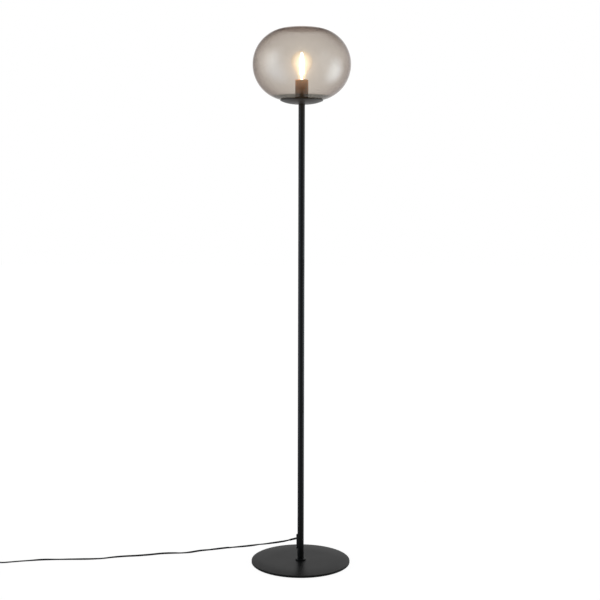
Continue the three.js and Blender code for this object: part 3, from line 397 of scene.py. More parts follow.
def smokedGlass():
    # thin tinted wall: clear, with a brown-grey tint that deepens where the eye meets it edge on;
    # painted shade darkens that edge most in its upper half, and round its mouth the grey of thicker glass
    # carries a painted reflection of the dish
    finish = Finish("smokedGlass", base_color=(0.92, 0.91, 0.90, 1), roughness=0.12, metallic=1.0)
    edge = finish.edge()
    middle, rim, thick = (finish.clear(smoke[key]) for key in ("middle", "rim", "thick"))
    height = finish.part(finish.place, "Z")
    upper, crown, flat, mouth = (
        finish.ramp(height, *smoke[key]) for key in ("upper", "crown", "flat", "mouth"))
    # the tint is a wide soft band, stronger lower down, a narrow one at the very edge, and a line along the
    # crown; the narrow one, strongest in the upper half, and the crown's line are painted shade for the dark
    # surroundings mirrored there
    band = (0.62 - 0.20 * upper - 0.28 * crown) * edge ** 2.5
    paintedRimShade = (0.05 + 0.80 * upper + 0.20 * crown) * edge ** 8.0
    line = 2.4 * crown * edge ** 14.0
    tint = finish.mixShaders((1 - 0.80 * flat) * (band + paintedRimShade + line), middle, rim)
    # painted reflection of the dish, over the grey of thicker glass round the mouth
    tint = finish.mixShaders(mouth, tint, thick)
    mirror = 0.045 + (0.70 - 0.50 * crown) * (1 - flat) * edge ** 6.0
    return finish.wear(finish.mixShaders(mirror, tint, finish.surface))


bulbGlow = {
    "dim": (0.15, 0.128, 0.100, 1), "warm": (0.24, 0.205, 0.155, 1), "hot": (8, 7.816, 7.312, 1),
    "strength": 6.0,
    # the column's power sets how narrow it is; it fades out between these heights, in metres
    "power": 260, "top": (1.434, 1.422),
}


def bulbGlass():
    # clear bulb, lit from inside: a bright column stands in its middle, and its edge stays clearer
    finish = Finish("clearGlass", base_color=(0.92, 0.92, 0.92, 1), roughness=0.10, metallic=1.0)
    edge = finish.edge()
    dim, warm, hot = (finish.node("ShaderNodeEmission", inputs={
        "Color": bulbGlow[key], "Strength": bulbGlow["strength"]}) for key in ("dim", "warm", "hot"))
    # the wall's and the eye's directions, both laid level, so that the column runs up the whole bulb
    wall, eye = (finish.vector("NORMALIZE", finish.vector(
        "MULTIPLY", finish.node("ShaderNodeNewGeometry", output=key), (1, 1, 0)))
        for key in ("Normal", "Incoming"))
    facing = finish.node("ShaderNodeMath", {"operation": "ABSOLUTE"}, {
        0: finish.vector("DOT_PRODUCT", wall, eye, output="Value")})
    column = facing ** bulbGlow["power"] * finish.ramp(finish.part(finish.place, "Z"), *bulbGlow["top"])
    glow = finish.mixShaders(column, finish.mixShaders((1 - edge) ** 2.0, dim, warm), hot)
    haze = finish.mixShaders(0.16 + 0.24 * (1 - edge), finish.clear((0.97, 0.965, 0.955, 1)), glow)
    return finish.wear(finish.mixShaders(0.02 + 0.05 * edge ** 4.0, haze, finish.surface))


def sleevedPin(name, step):
    # plated pin whose rear part, beyond the step along X, wears a moulded black sleeve
    finish = Finish(name)
    lines = finish.noise(scale=700, roughness=0.6, stretch=(12, 1, 1))
    sleeve = finish.node("ShaderNodeMath", {"operation": "GREATER_THAN"}, {
        0: finish.part(finish.place, "X"), 1: step})
    finish.feed(base_color=finish.blend(sleeve, (0.66, 0.65, 0.62, 1), grey(0.02)), metallic=1 - sleeve,
                roughness=0.18 + 0.10 * lines + 0.20 * sleeve)
    return finish.bump(lines, strength=0.05, distance=0.03).material


def glowingPhosphor():
    finish = Finish("filament", base_color=(1.0, 0.62, 0.22, 1), roughness=0.6,
                    emission_color=(1.0, 0.84, 0.62, 1), emission_strength=12.0)
    return finish.material


finishes = {
    "black_powder": powderCoat("blackPowder", grey(0.010), grey(0.014), 0.38),
    "zinc_steel": platedMetal("zincSteel", (0.50, 0.52, 0.54, 1), (0.62, 0.64, 0.66, 1), 0.38),
    "bronze_paint": powderCoat("bronzePaint", (0.25, 0.13, 0.062, 1), (0.31, 0.165, 0.080, 1), 0.38),
    "black_plastic": castPlastic("blackPlastic", grey(0.016), grey(0.024), 0.46),
    "cord_vinyl": cordSheath(),
    "black_rubber": softRubber(),
    "grey_felt": pressedFelt(),
    "ivory_plastic": castPlastic("ivoryPlastic", (0.66, 0.62, 0.52, 1), (0.74, 0.70, 0.60, 1), 0.30,
                                 grain=500, depth=0.02),
    "brass": platedMetal("brass", (0.56, 0.38, 0.16, 1), (0.70, 0.50, 0.24, 1), 0.28),
    "nickel": platedMetal("nickel", (0.62, 0.61, 0.58, 1), (0.72, 0.71, 0.68, 1), 0.22),
    "black_glass": castPlastic("blackGlass", grey(0.008), grey(0.014), 0.12, grain=300, depth=0.02),
    "filament": glowingPhosphor(),
    "clear_glass": bulbGlass(),
    "smoked_glass": smokedGlass(),
}
for row in frame["record"]["subparts"]:
    node = frame["nodes"][row["node"]]
    node.data.materials.clear()
    node.data.materials.append(finishes[row["material_slot"]])
print("materials made:", len(finishes))


# cords; the points repeat the source's, in mm

cordSize = {
    "width": 5.2,
    "thickness": 3.2,
    "sides": 10,
    "lead": [
        (-31.7, 0, 65.1), (-38, 0, 63.5), (-46, 0, 61.6), (-58, 3, 58.7), (-70, 7, 55.5), (-82, 13, 52),
        (-94, 20, 48), (-106, 28, 44), (-118, 37, 40), (-140, 51, 32.6), (-163, 66, 25.2), (-187, 81, 18.2),
        (-210, 92, 12.4), (-232, 98, 7.6), (-252, 101, 4.4), (-272, 101, 2.4), (-288, 97.5, 1.8),
        (-305, 89, 1.75), (-320, 81, 1.75), (-340, 76, 1.75), (-374, 72, 1.75), (-405, 67, 1.75),
        (-442, 55, 1.75), (-475, 47.5, 1.75), (-510, 42, 1.75), (-545, 33, 1.75), (-576, 22.5, 1.75),
        (-610, 17, 1.75), (-655, 15.5, 1.75), (-700, 14, 1.75), (-747, 9, 1.75), (-802, -2, 1.75),
        (-834, -11, 1.75), (-850, -15.5, 2.2), (-862, -18, 4.6), (-871, -19, 7.2), (-879.7, -19, 8),
    ],
    "tail": [
        (-992.3, -19, 8), (-1001, -19, 7.4), (-1010, -19.3, 5.2), (-1020, -20.4, 2.8), (-1029, -23, 1.8),
        (-1036.5, -29, 1.75), (-1041.5, -36.5, 1.75), (-1044, -49, 1.75), (-1041.5, -61.5, 1.75),
        (-1036.5, -69, 1.75), (-1029, -75, 1.75), (-1018, -78.4, 1.75), (-1000, -79, 1.75),
        (-970, -79, 1.75), (-940, -79, 1.8), (-915, -79, 2.4), (-898, -79, 2.7),
    ],
    "end": [
        (-900, -147.6, 5.8), (-911, -147.8, 3.8), (-922, -148.2, 2), (-933, -148.7, 1.8),
        (-944, -149, 3), (-953, -149, 5.2), (-959, -149, 6.5), (-964.7, -149, 6.85),
    ],
    "coil": {"x": -885, "y": -113.3, "outer": 34.3, "turns": 4.5, "pitch": 5.7, "layer": 3.7, "bottom": 2.7},
    # how far the flat cord stands on edge along the lead, as (x in mm, degrees)
    "twist": [
        (-31, 0), (-50, 40), (-67, 88), (-84, 43), (-101, 12), (-118, 0), (-134, 47), (-151, 74), (-168, 52),
        (-185, 27), (-202, 6), (-218, 52), (-235, 78), (-252, 47), (-269, 17), (-286, 36), (-302, 88),
        (-319, 56), (-336, 9), (-353, 0), (-370, 33), (-386, 61), (-403, 76), (-420, 90), (-437, 88),
        (-454, 69), (-480, 48), (-521, 40), (-571, 5), (-605, 30), (-622, 40), (-655, 22), (-694, 0),
        (-740, 45), (-780, 0), (-880, 0),
    ],
}


def splineThrough(points, perSpan=5):
    points = [Vector(p) for p in points]
    held = [points[0] * 2 - points[1]] + points + [points[-1] * 2 - points[-2]]
    line = []
    for a, b, c, d in zip(held, held[1:], held[2:], held[3:]):
        ta = math.sqrt((b - a).length)
        tb = ta + math.sqrt((c - b).length)
        tc = tb + math.sqrt((d - c).length)
        for i in range(perSpan):
            t = ta + (tb - ta) * i / perSpan
            ab, bc, cd = a.lerp(b, t / ta), b.lerp(c, (t - ta) / (tb - ta)), c.lerp(d, (t - tb) / (tc - tb))
            line.append(ab.lerp(bc, t / tb).lerp(bc.lerp(cd, (t - ta) / (tc - ta)), (t - ta) / (tb - ta)))
    return line + [points[-1]]


def coilPoints(c, perTurn=60):
    line = []
    for i in range(int(c["turns"] * perTurn) + 1):
        turns = i / perTurn
        radius = c["outer"] - c["pitch"] * min(turns, c["turns"] - turns)
        angle = math.pi / 2 - 2 * math.pi * turns
        climb = min(max((turns - c["turns"] / 2 + 0.25) / 0.5, 0), 1)
        climb = climb * climb * (3 - 2 * climb)
        line.append(Vector((c["x"] + radius * math.cos(angle), c["y"] + radius * math.sin(angle),
                            c["bottom"] + c["layer"] * climb)))
    return line


def twistAt(x, stops):
    for (x0, a0), (x1, a1) in zip(stops, stops[1:]):
        if x >= x1:
            part = min(max((x0 - x) / (x0 - x1), 0), 1)
            return a0 + (a1 - a0) * part * part * (3 - 2 * part)
    return 0


def twinOutline(c):
    # two round cores side by side, with a shallow groove between them
    lobe = c["thickness"] / 2
    reach = c["width"] / 2 - lobe
    notch = math.degrees(math.acos(-reach / lobe))
    half = []
    for i in range(c["sides"]):
        angle = math.radians(-notch + 2 * notch * (i + 0.5) / c["sides"])
        half.append((reach + lobe * math.cos(angle), lobe * math.sin(angle)))
    return half + [(-x, -y) for x, y in half]


def sweepCord(name, line, twists=None):
    outline = twinOutline(cordSize)
    reach = (cordSize["width"] - cordSize["thickness"]) / 2
    verts, faces = [], []
    for i, point in enumerate(line):
        along = (line[min(i + 1, len(line) - 1)] - line[max(i - 1, 0)]).normalized()
        side = along.cross(Vector((0, 0, 1))).normalized()
        up = side.cross(along)
        turn = math.radians(twistAt(point.x, twists)) if twists else 0
        lift = Vector((0, 0, reach * math.sin(turn))) if point.z < 12 else Vector()
        across = side * math.cos(turn) + up * math.sin(turn)
        over = up * math.cos(turn) - side * math.sin(turn)
        verts += [(point + lift + across * x + over * y) * mm for x, y in outline]
    n = len(outline)
    for i in range(len(line) - 1):
        for j in range(n):
            k = (j + 1) % n
            faces.append((i * n + j, i * n + k, (i + 1) * n + k, (i + 1) * n + j))
    faces.append(tuple(reversed(range(n))))
    faces.append(tuple((len(line) - 1) * n + j for j in range(n)))
    mesh = bpy.data.meshes.new(name)
    mesh.from_pydata(verts, [], faces)
    piece = bpy.data.objects.new(name, mesh)
    bpy.context.scene.collection.objects.link(piece)
    pick(piece)
    bpy.ops.object.mode_set(mode="EDIT")
    faceOutwards()
    smooth(piece, 50)
    return piece


def lineLength(line):
    return sum((b - a).length for a, b in zip(line, line[1:])) * mm


leadLine = splineThrough(cordSize["lead"], 6)
leadLine = [leadLine[0] + (leadLine[0] - leadLine[1]).normalized() * 3] + leadLine
leadLine.append(leadLine[-1] + Vector((-16, 0, 0)))
coilLine = coilPoints(cordSize["coil"])
tailLine = splineThrough(cordSize["tail"], 6) + coilLine + splineThrough(cordSize["end"], 6)
tailLine = [tailLine[0] + Vector((4, 0, 0))] + tailLine + [tailLine[-1] + Vector((-4, 0, 0))]
leadCord = sweepCord("leadCord", leadLine, cordSize["twist"])
finishPiece(leadCord, "lamp", "cord_vinyl", "cord_lead")
tailCord = sweepCord("tailCord", tailLine)
finishPiece(tailCord, "lamp", "cord_vinyl", "cord_tail", "cord_coil", "cord_end")
print("cords:", round(lineLength(leadLine), 3), "m and", round(lineLength(tailLine), 3), "m")


# foot

basePlate = {"radius": 140, "hole": 5.2, "sink": 9.7, "land": 0.6, "edge": 1.0, "innerShare": 0.6,
             "sides": 160}
feltPad = {"radius": 10, "edge": 0.5, "sides": 48}
baseScrew = {"head": 9.4, "land": 0.6, "shank": 4.9, "socket": 3.5, "socketDepth": 3.5, "bevel": 0.3,
             "end": 0.5}
footCollar = {"bore": 9.06, "radius": 14.7, "edge": 0.8, "bevel": 0.3}


def makeFoot():
    low, high = nodeBox("base_plate")
    b = basePlate
    bottom, top, edge = low.z, high.z, b["radius"] - b["edge"]
    sinkTop = bottom + b["land"] + b["sink"] - b["hole"]
    rings = [(b["sink"], bottom)]
    rings += arc(edge, bottom + b["edge"], b["edge"], -90, 0, steps=6)
    rings += arc(edge, top - b["edge"], b["edge"], 0, 90, steps=6)
    rings += [(b["radius"] * b["innerShare"], top), (b["hole"], top), (b["hole"], sinkTop),
              (b["sink"], bottom + b["land"]), (b["sink"], bottom)]
    plate = turnPiece("basePlate", rings, b["sides"])
    finishPiece(plate, "lamp", "black_powder", "base_plate")

    f = feltPad
    low, high = nodeBox("felt_pad_1")
    tall, edge = high.z - low.z, f["radius"] - f["edge"]
    rings = [(0, 0)] + arc(edge, f["edge"], f["edge"], -90, 0, steps=3)
    rings += arc(edge, tall - f["edge"], f["edge"], 0, 90, steps=3) + [(0, tall)]
    master = turnPiece("feltPad", rings, f["sides"])
    for i in range(4):
        node = f"felt_pad_{i + 1}"
        low, high = nodeBox(node)
        middle = (low + high) / 2
        pad = copyPiece(master, f"feltPad{i + 1}", (middle.x, middle.y, low.z))
        finishPiece(pad, "lamp", "grey_felt", node)
    bpy.data.objects.remove(master)

    s = baseScrew
    low, high = nodeBox("base_screw")
    cone = low.z + s["land"] + s["head"] - s["shank"]
    screw = turnPiece("baseScrew", [
        (0, low.z), (s["head"] - s["bevel"], low.z), (s["head"], low.z + s["bevel"]),
        (s["head"], low.z + s["land"]), (s["shank"], cone), (s["shank"], high.z - s["end"]),
        (s["shank"] - s["end"], high.z), (0, high.z)], 64)
    carve(screw, discAt(s["socket"], low.z - s["socketDepth"], low.z + s["socketDepth"], sides=6))
    smooth(screw, 30)
    finishPiece(screw, "lamp", "zinc_steel", "base_screw")

    c = footCollar
    low, high = nodeBox("foot_collar")
    rings = [(c["bore"], low.z), (c["radius"] - c["bevel"], low.z), (c["radius"], low.z + c["bevel"])]
    rings += arc(c["radius"] - c["edge"], high.z - c["edge"], c["edge"], 0, 90, steps=6)
    rings += [(c["bore"] + c["bevel"], high.z), (c["bore"], high.z - c["bevel"]), (c["bore"], low.z)]
    collar = turnPiece("footCollar", rings, 96)
    finishPiece(collar, "lamp", "black_powder", "foot_collar")


makeFoot()
print("foot made")


# pole

poleTube = {"radius": 9, "bore": 7.8, "edge": 0.35, "spans": 6, "sides": 96}


def makePole():
    p = poleTube
    for place in ("lower", "middle", "upper"):
        node, name = f"pole_{place}", f"pole{place.title()}"
        low, high = nodeBox(node)
        outer = p["radius"] - p["edge"]
        rings = [(p["bore"], low.z)] + arc(outer, low.z + p["edge"], p["edge"], -90, 0, steps=3)
        rings += [(p["radius"], low.z + (high.z - low.z) * i / p["spans"]) for i in range(1, p["spans"])]
        rings += arc(outer, high.z - p["edge"], p["edge"], 0, 90, steps=3)
        rings += [(p["bore"], high.z), (p["bore"], low.z)]
        tube = turnPiece(name, rings, p["sides"])
        finishPiece(tube, "lamp", "black_powder", node)


makePole()
print("pole made")


# cord outlet on the pole

outletPlate = {"width": 12, "back": 4, "face": 12, "edge": 1.0, "saddle": 9.05}
outletScrew = {"head": 2.7, "dome": 0.8, "headTall": 1.5, "shank": 1.5, "long": 6, "end": 0.5,
               "slotLong": 3.2, "slot": 0.6, "slotDepth": 0.5, "slotTurn": 20}
cordRelief = {"root": 4.1, "tip": 3.6, "flat": 0.72, "length": 20, "exit": (-12, 0, 70), "tilt": 14,
              "groove": 0.45, "grooves": 5, "first": 2.4, "pitch": 3.2, "corners": (-0.9, -0.5, 0.4, 0.8), "draft": 0.02,
              "rootWall": 1.0, "buried": 3, "collar": 1.2, "end": 0.5, "bevel": 0.3, "bore": 2.95}


def makeOutlet():
    o = outletPlate
    low, high = nodeBox("outlet_plate")
    half = (high.z - low.z) / 2 - o["width"] / 2
    middle = (low.z + high.z) / 2
    plate = discAt(o["width"] / 2, o["back"], o["face"], sides=64)
    plate.name = plate.data.name = "outletPlate"
    placePiece(plate, (0, 0, middle), (0, -90, 0))
    # the disc is stretched to a stadium: its upper and lower halves move apart
    for side in (1, -1):
        selectWhere(plate, lambda v, side=side: (v.co.z / mm - middle) * side > near)
        bpy.ops.transform.translate(value=(0, 0, side * half * mm))
        bpy.ops.object.mode_set(mode="OBJECT")
    front = -o["face"] + near
    selectWhere(plate, lambda e: all(plate.data.vertices[i].co.x / mm < front for i in e.vertices), "EDGE")
    bpy.ops.mesh.bevel(offset=o["edge"] * mm, segments=5)
    bpy.ops.object.mode_set(mode="OBJECT")
    carve(plate, discAt(o["saddle"], low.z - overrun, high.z + overrun, sides=128))
    smooth(plate, 30)
    finishPiece(plate, "lamp", "black_plastic", "outlet_plate")

    s = outletScrew
    for i in (1, 2):
        low, high = nodeBox(f"outlet_screw_{i}")
        height = (low.z + high.z) / 2
        rings = [(0, 0)] + arc(s["head"] - s["dome"], s["dome"], s["dome"], -90, 0, steps=5)
        rings += [(s["head"], s["headTall"]), (s["shank"], s["headTall"]), (s["shank"], s["long"] - s["end"])]
        screw = turnPiece(f"outletScrew{i}", rings + [(0, s["long"])], 40)
        placePiece(screw, (low.x, 0, height), (0, 90, 0))
        slot = Vector((s["slotDepth"], s["slot"] / 2, s["slotLong"] / 2))
        for turn in (0, 90):
            carve(screw, placePiece(boxAt(-slot, slot), (low.x, 0, height), (turn + s["slotTurn"] * i, 0, 0)))
        smooth(screw, 30)
        finishPiece(screw, "lamp", "zinc_steel", f"outlet_screw_{i}")

    # ribbed sleeve that thins towards its tip
    c = cordRelief
    inside = c["root"] - c["rootWall"]
    rings = [(inside, -c["buried"]), (c["root"], -c["buried"]), (c["root"], c["collar"])]
    for i in range(c["grooves"]):
        start = c["first"] + c["pitch"] * i
        wide = c["root"] + (c["tip"] - c["root"]) * start / c["length"]
        widths = (wide, wide - c["groove"], wide - c["groove"], wide - c["draft"])
        rings += [(width, start + corner) for width, corner in zip(widths, c["corners"])]
    rings += [(c["tip"] + 0.05, c["length"] - c["end"]), (c["tip"] - c["bevel"], c["length"]),
              (c["bore"], c["length"]), (c["bore"], 0), (inside, -c["buried"])]
    relief = turnPiece("cordRelief", rings, 56, 40)
    placePiece(relief, scale=(c["flat"], 1, 1))
    placePiece(relief, c["exit"], (0, -90 - c["tilt"], 0))
    finishPiece(relief, "lamp", "black_rubber", "cord_relief")


makeOutlet()
print("outlet made")


# foot switch; all its pieces share the middle of its case

footSwitch = {"long": 84, "wide": 50, "corner": 13, "wall": 2, "round": 3, "footEdge": 0.8, "gap": 0.1,
              "seam": 0.4, "cornerSteps": 10, "screwAt": 32, "boss": 3.6, "bossFoot": 2.3, "pilot": 1.9, "pilotTall": 7.5,
              "mouth": 14.3, "mouthEdge": 0.7}
cordSpout = {"root": 5.2, "tip": 3.7, "flat": 0.72, "length": 14, "height": 8, "rings": 4, "groove": 0.4,
             "buried": 2}
caseScrew = {"head": 3, "shank": 1.6, "cone": 1.8, "land": 0.25, "bevel": 0.15, "end": 0.6, "slot": 0.7,
             "slotLong": 4.2, "slotDepth": 1.1, "play": 0.3, "sunk": 0.6}
footPedal = {"radius": 14, "flange": 2, "flangeTall": 1.6, "bevel": 0.3, "edge": 1.25, "dish": 1.0,
             "grips": (10.4, 7.6, 4.8), "grip": 0.35, "gripTop": 0.6, "gripFloor": 0.25, "middle": 2.0}


def roundedOutline(long, wide, corner, steps):
    outline = []
    x, y = long / 2 - corner, wide / 2 - corner
    for sideX, sideY, start in ((1, 1, 0), (-1, 1, 90), (-1, -1, 180), (1, -1, 270)):
        outline += arc(sideX * x, sideY * y, corner, start, start + 90, steps)
    return outline


def slabPiece(name, outline, bottom, top):
    # a flat outline in mm, drawn from a circle's vertices and extruded upwards
    deselectAll()
    bpy.ops.mesh.primitive_circle_add(vertices=len(outline), radius=0.01, fill_type="NGON")
    piece = bpy.context.object
    piece.name = piece.data.name = name
    for vertex, (x, y) in zip(piece.data.vertices, outline):
        vertex.co = Vector((x, y, bottom)) * mm
    bpy.ops.object.mode_set(mode="EDIT")
    bpy.ops.mesh.select_mode(type="FACE")
    bpy.ops.mesh.select_all(action="SELECT")
    bpy.ops.mesh.extrude_region_move(TRANSFORM_OT_translate={"value": (0, 0, (top - bottom) * mm)})
    faceOutwards()
    return piece


def levelFace(piece, height):
    selectWhere(piece, lambda p: abs(p.center.z / mm - height) < near and abs(p.normal.z) > 0.9, "FACE")


def hollow(piece, height, wall, depth):
    # insets the flat face at a height and pushes it into the body
    levelFace(piece, height)
    bpy.ops.mesh.inset(thickness=wall * mm)
    bpy.ops.mesh.extrude_region_move(TRANSFORM_OT_translate={"value": (0, 0, depth * mm)})
    bpy.ops.object.mode_set(mode="OBJECT")


def roundEdge(piece, height, width, segments, inside=None):
    # bevels the edges at a height, or of those only the ones whose ends pass the test inside
    def keep(edge):
        ends = [piece.data.vertices[i].co / mm for i in edge.vertices]
        if any(abs(v.z - height) > near for v in ends):
            return False
        return inside is None or all(inside(v) for v in ends)
    selectWhere(piece, keep, "EDGE")
    bpy.ops.mesh.bevel(offset=width * mm, segments=segments)
    bpy.ops.object.mode_set(mode="OBJECT")


def ribbedRings(c):
    # half profile of a sleeve that thins from its root to its tip, with grooves cut round it;
    # it reaches some way into the body that it is joined to
    first, last, slope, share = 2, 1, 0.3, 0.35
    rings = [(0, -c["buried"]), (c["root"], -c["buried"]), (c["root"], 2 * slope)]
    step = (c["length"] - first - last) / c["rings"]
    for i in range(c["rings"]):
        start = first + step * i
        wide = c["root"] + (c["tip"] - c["root"]) * start / c["length"]
        rings += [(wide, start), (wide - c["groove"], start + slope),
                  (wide - c["groove"], start + slope + step * share),
                  (wide - 0.03, start + 2 * slope + step * share)]
    tip, end = c["tip"], c["length"]
    return rings + [(tip + 0.1, end - 2 * slope), (tip - 0.4, end), (0, end)]


def makeSwitch():
    w, c, s, p = footSwitch, cordSpout, caseScrew, footPedal
    low, high = nodeBox("switch_case_upper")
    lowCase, highCase = nodeBox("switch_case_lower")
    middle = (highCase + lowCase) / 2
    centre = (middle.x, middle.y, 0)
    floor, seam, roof = lowCase.z, highCase.z, high.z
    base = seam + w["gap"]
    outline = roundedOutline(w["long"], w["wide"], w["corner"], w["cornerSteps"])

    lower = slabPiece("switchCaseLower", outline, floor, seam)
    roundEdge(lower, floor, w["footEdge"], 3)
    hollow(lower, seam, w["wall"], floor + w["wall"] - seam)
    head, shank, sunk = s["head"] + s["play"], s["shank"] + s["play"], floor + s["sunk"]
    for side in (1, -1):
        spout = turnPiece("spout", ribbedRings(c), 48)
        placePiece(spout, scale=(c["flat"], 1, 1))
        placePiece(spout, (side * w["long"] / 2, 0, c["height"]), (0, 90 * side, 0))
        carve(spout, boxAt((-w["long"], -w["wide"], seam), (w["long"], w["wide"], roof)))
        carve(lower, spout, "UNION")
        hole = turnPiece("hole", [(0, floor - overrun), (head, floor - overrun), (head, sunk),
                                  (shank, sunk + s["cone"]), (shank, seam), (0, seam)], 40)
        carve(lower, placePiece(hole, (side * w["screwAt"], 0, 0)))
    smooth(lower, 30)
    placePiece(lower, centre)
    finishPiece(lower, "lamp", "black_plastic", "switch_case_lower")

    def onOuterWall(v):
        beyond = (abs(v.x) - w["long"] / 2 + w["corner"], abs(v.y) - w["wide"] / 2 + w["corner"])
        return math.hypot(*(max(b, 0) for b in beyond)) > w["corner"] - 0.5 * w["wall"]

    upper = slabPiece("switchCaseUpper", outline, base, roof)
    hollow(upper, base, w["wall"], roof - w["wall"] - base)
    roundEdge(upper, roof, w["round"], 6)
    roundEdge(upper, base, w["seam"], 2, onOuterWall)
    for x in (w["screwAt"], -w["screwAt"]):
        carve(upper, discAt(w["boss"], floor + w["bossFoot"], roof - w["wall"] / 2, (x, 0)), "UNION")
        carve(upper, discAt(w["pilot"], floor, base + w["pilotTall"], (x, 0)))
    carve(upper, discAt(w["mouth"], base, roof + overrun, sides=96))
    roundEdge(upper, roof, w["mouthEdge"], 3, lambda v: math.hypot(v.x, v.y) < w["mouth"] + near)
    smooth(upper, 30)
    placePiece(upper, centre)
    finishPiece(upper, "lamp", "black_plastic", "switch_case_upper")

    for i in (1, 2):
        low, high = nodeBox(f"case_screw_{i}")
        screw = turnPiece(f"caseScrew{i}", [
            (0, low.z), (s["head"] - s["bevel"], low.z), (s["head"], low.z + s["land"]),
            (s["shank"], low.z + s["cone"]), (s["shank"], high.z - s["end"]), (s["shank"] - s["end"], high.z),
            (0, high.z)], 40)
        long, thin = s["slotLong"] / 2, s["slot"] / 2
        for x, y in ((long, thin), (thin, long)):
            carve(screw, boxAt((-x, -y, low.z - overrun), (x, y, low.z + s["slotDepth"])))
        smooth(screw, 30)
        placePiece(screw, ((low.x + high.x) / 2, (low.y + high.y) / 2, 0))
        finishPiece(screw, "lamp", "zinc_steel", f"case_screw_{i}")

    # the pedal's top is dished, and has grooves round it
    low, high = nodeBox("switch_pedal")
    r, e, foot, flangeTop = p["radius"], p["edge"], p["radius"] + p["flange"], low.z + p["flangeTall"]
    rings = [(0, low.z), (foot - p["bevel"], low.z), (foot, low.z + p["bevel"]), (foot, flangeTop)]
    rings += [(r, flangeTop)]
    rings += arc(r - e, high.z - e, e, 0, 90, steps=6)
    for grip in p["grips"]:
        sunk = high.z - p["dish"] * (1 - (grip / r) ** 2)
        rings += [(grip + p["gripTop"], sunk + 0.1), (grip + p["gripFloor"], sunk - p["grip"]),
                  (grip - p["gripFloor"], sunk - p["grip"]), (grip - p["gripTop"], sunk)]
    rings += [(p["middle"], high.z - p["dish"] + 0.02), (0, high.z - p["dish"])]
    pedal = placePiece(turnPiece("switchPedal", rings, 96), ((low.x + high.x) / 2, (low.y + high.y) / 2, 0))
    finishPiece(pedal, "pedal", "black_plastic", "switch_pedal")


makeSwitch()
print("foot switch made")


# plug, pins and the coil's tie

plugForm = {"tail": 24, "body": 36, "wide": 35.3, "thick": 13.7, "shoulder": 15, "corner": 2, "round": 2.4,
            "grips": (-46, -41.5, -37), "gripRadius": 2.2, "gripDepth": 0.7}
plugTail = {"root": 5.2, "tip": 3.7, "flat": 0.72, "length": 24, "rings": 6, "groove": 0.45, "buried": 8}
plugPin = {"bare": 9, "radius": 2, "end": 1, "sleeve": 1.9, "step": 0.1, "apart": 18.6, "play": 0.3,
           "pocket": 3.65}
coilTie = {"thick": 0.8, "corner": 1.1, "innerCorner": 0.3, "edge": 0.22}


def plugOutline(f, steps=16):
    # seen from above: square at the pins' face, drawn in to the shoulders at the tail
    wide, narrow, corner = f["wide"] / 2, f["shoulder"] / 2, f["corner"]
    front, back = -f["tail"] - f["body"], -f["tail"]
    side = [(front, wide - corner), (front + 0.3 * corner, wide - 0.3 * corner), (front + corner, wide)]
    held = (((front + back) / 2, wide), ((front + 2 * back) / 3, wide), ((front + 5 * back) / 6, narrow),
            (back, narrow))
    for i in range(steps + 1):
        t = i / steps
        weights = ((1 - t) ** 3, 3 * (1 - t) ** 2 * t, 3 * (1 - t) * t * t, t ** 3)
        side.append(tuple(sum(w * point[k] for w, point in zip(weights, held)) for k in (0, 1)))
    return side + [(x, -y) for x, y in reversed(side)]


def makePlug():
    f, t, n = plugForm, plugTail, plugPin
    low, high = nodeBox("plug_body")
    centre = (high.x, (low.y + high.y) / 2, (low.z + high.z) / 2)
    half = f["thick"] / 2
    body = slabPiece("plugBody", plugOutline(f), -half, half)
    for level in (half, -half):
        roundEdge(body, level, f["round"], 5)
    gripAt = f["wide"] / 2 + f["gripRadius"] - f["gripDepth"]
    for y in (gripAt, -gripAt):
        for x in f["grips"]:
            carve(body, discAt(f["gripRadius"], -half - overrun, half + overrun, (x, y), 32))
    tail = turnPiece("tail", ribbedRings(t), 48)
    placePiece(tail, scale=(t["flat"], 1, 1))
    placePiece(tail, (-t["length"], 0, 0), (0, 90, 0))
    carve(body, tail, "UNION")
    for side in (1, -1):
        pocket = discAt(n["radius"] + n["play"], -n["pocket"], n["pocket"], sides=32)
        carve(body, placePiece(pocket, (-f["tail"] - f["body"], side * n["apart"] / 2, 0), (0, 90, 0)))
    smooth(body, 30)
    placePiece(body, centre)
    finishPiece(body, "lamp", "black_plastic", "plug_body")

    for i in (1, 2):
        low, high = nodeBox(f"plug_pin_{i}")
        long = high.x - low.x
        rings = [(0, 0)] + arc(n["radius"] - n["end"], n["end"], n["end"], -90, 0, steps=6)
        rings += [(n["radius"], n["bare"] - n["step"]), (n["sleeve"], n["bare"])]
        rings += [(n["sleeve"], long), (0, long)]
        pin = turnPiece(f"plugPin{i}", rings, 48)
        placePiece(pin, (low.x, (low.y + high.y) / 2, (low.z + high.z) / 2), (0, 90, 0))
        finish = sleevedPin(f"sleevedPin{i}", (low.x + n["bare"]) * mm)
        finishPiece(pin, "lamp", "nickel", f"plug_pin_{i}", finish=finish)

    w = coilTie
    low, high = nodeBox("coil_tie")
    size, middle = high - low, (low + high) / 2
    half = size.y / 2
    strap = slabPiece("coilTie", roundedOutline(size.x, size.z, w["corner"], 6), -half, half)
    outline = roundedOutline(size.x - 2 * w["thick"], size.z - 2 * w["thick"], w["innerCorner"], 4)
    carve(strap, slabPiece("hole", outline, -half - overrun, half + overrun))
    for level in (half, -half):
        roundEdge(strap, level, w["edge"], 2)
    smooth(strap, 40)
    placePiece(strap, middle, (90, 0, 0))
    finishPiece(strap, "lamp", "black_rubber", "coil_tie")


makePlug()
print("plug made")


# dish, cover and lampholder

dish = {"radius": 59, "hub": 19, "bowl": 9, "wall": 1.5, "hole": 5.2, "sides": 160}
gasketRing = {"inner": 47.5, "outer": 52.5, "drop": 1.6, "bevel": 0.3, "lip": 1.0}
holderCover = {"radius": 18, "wall": 1, "floor": 1.5, "hole": 5.2, "edge": 0.5}
holderSleeve = {"inner": 14.4, "outer": 16, "edge": 0.4, "bevel": 0.3}


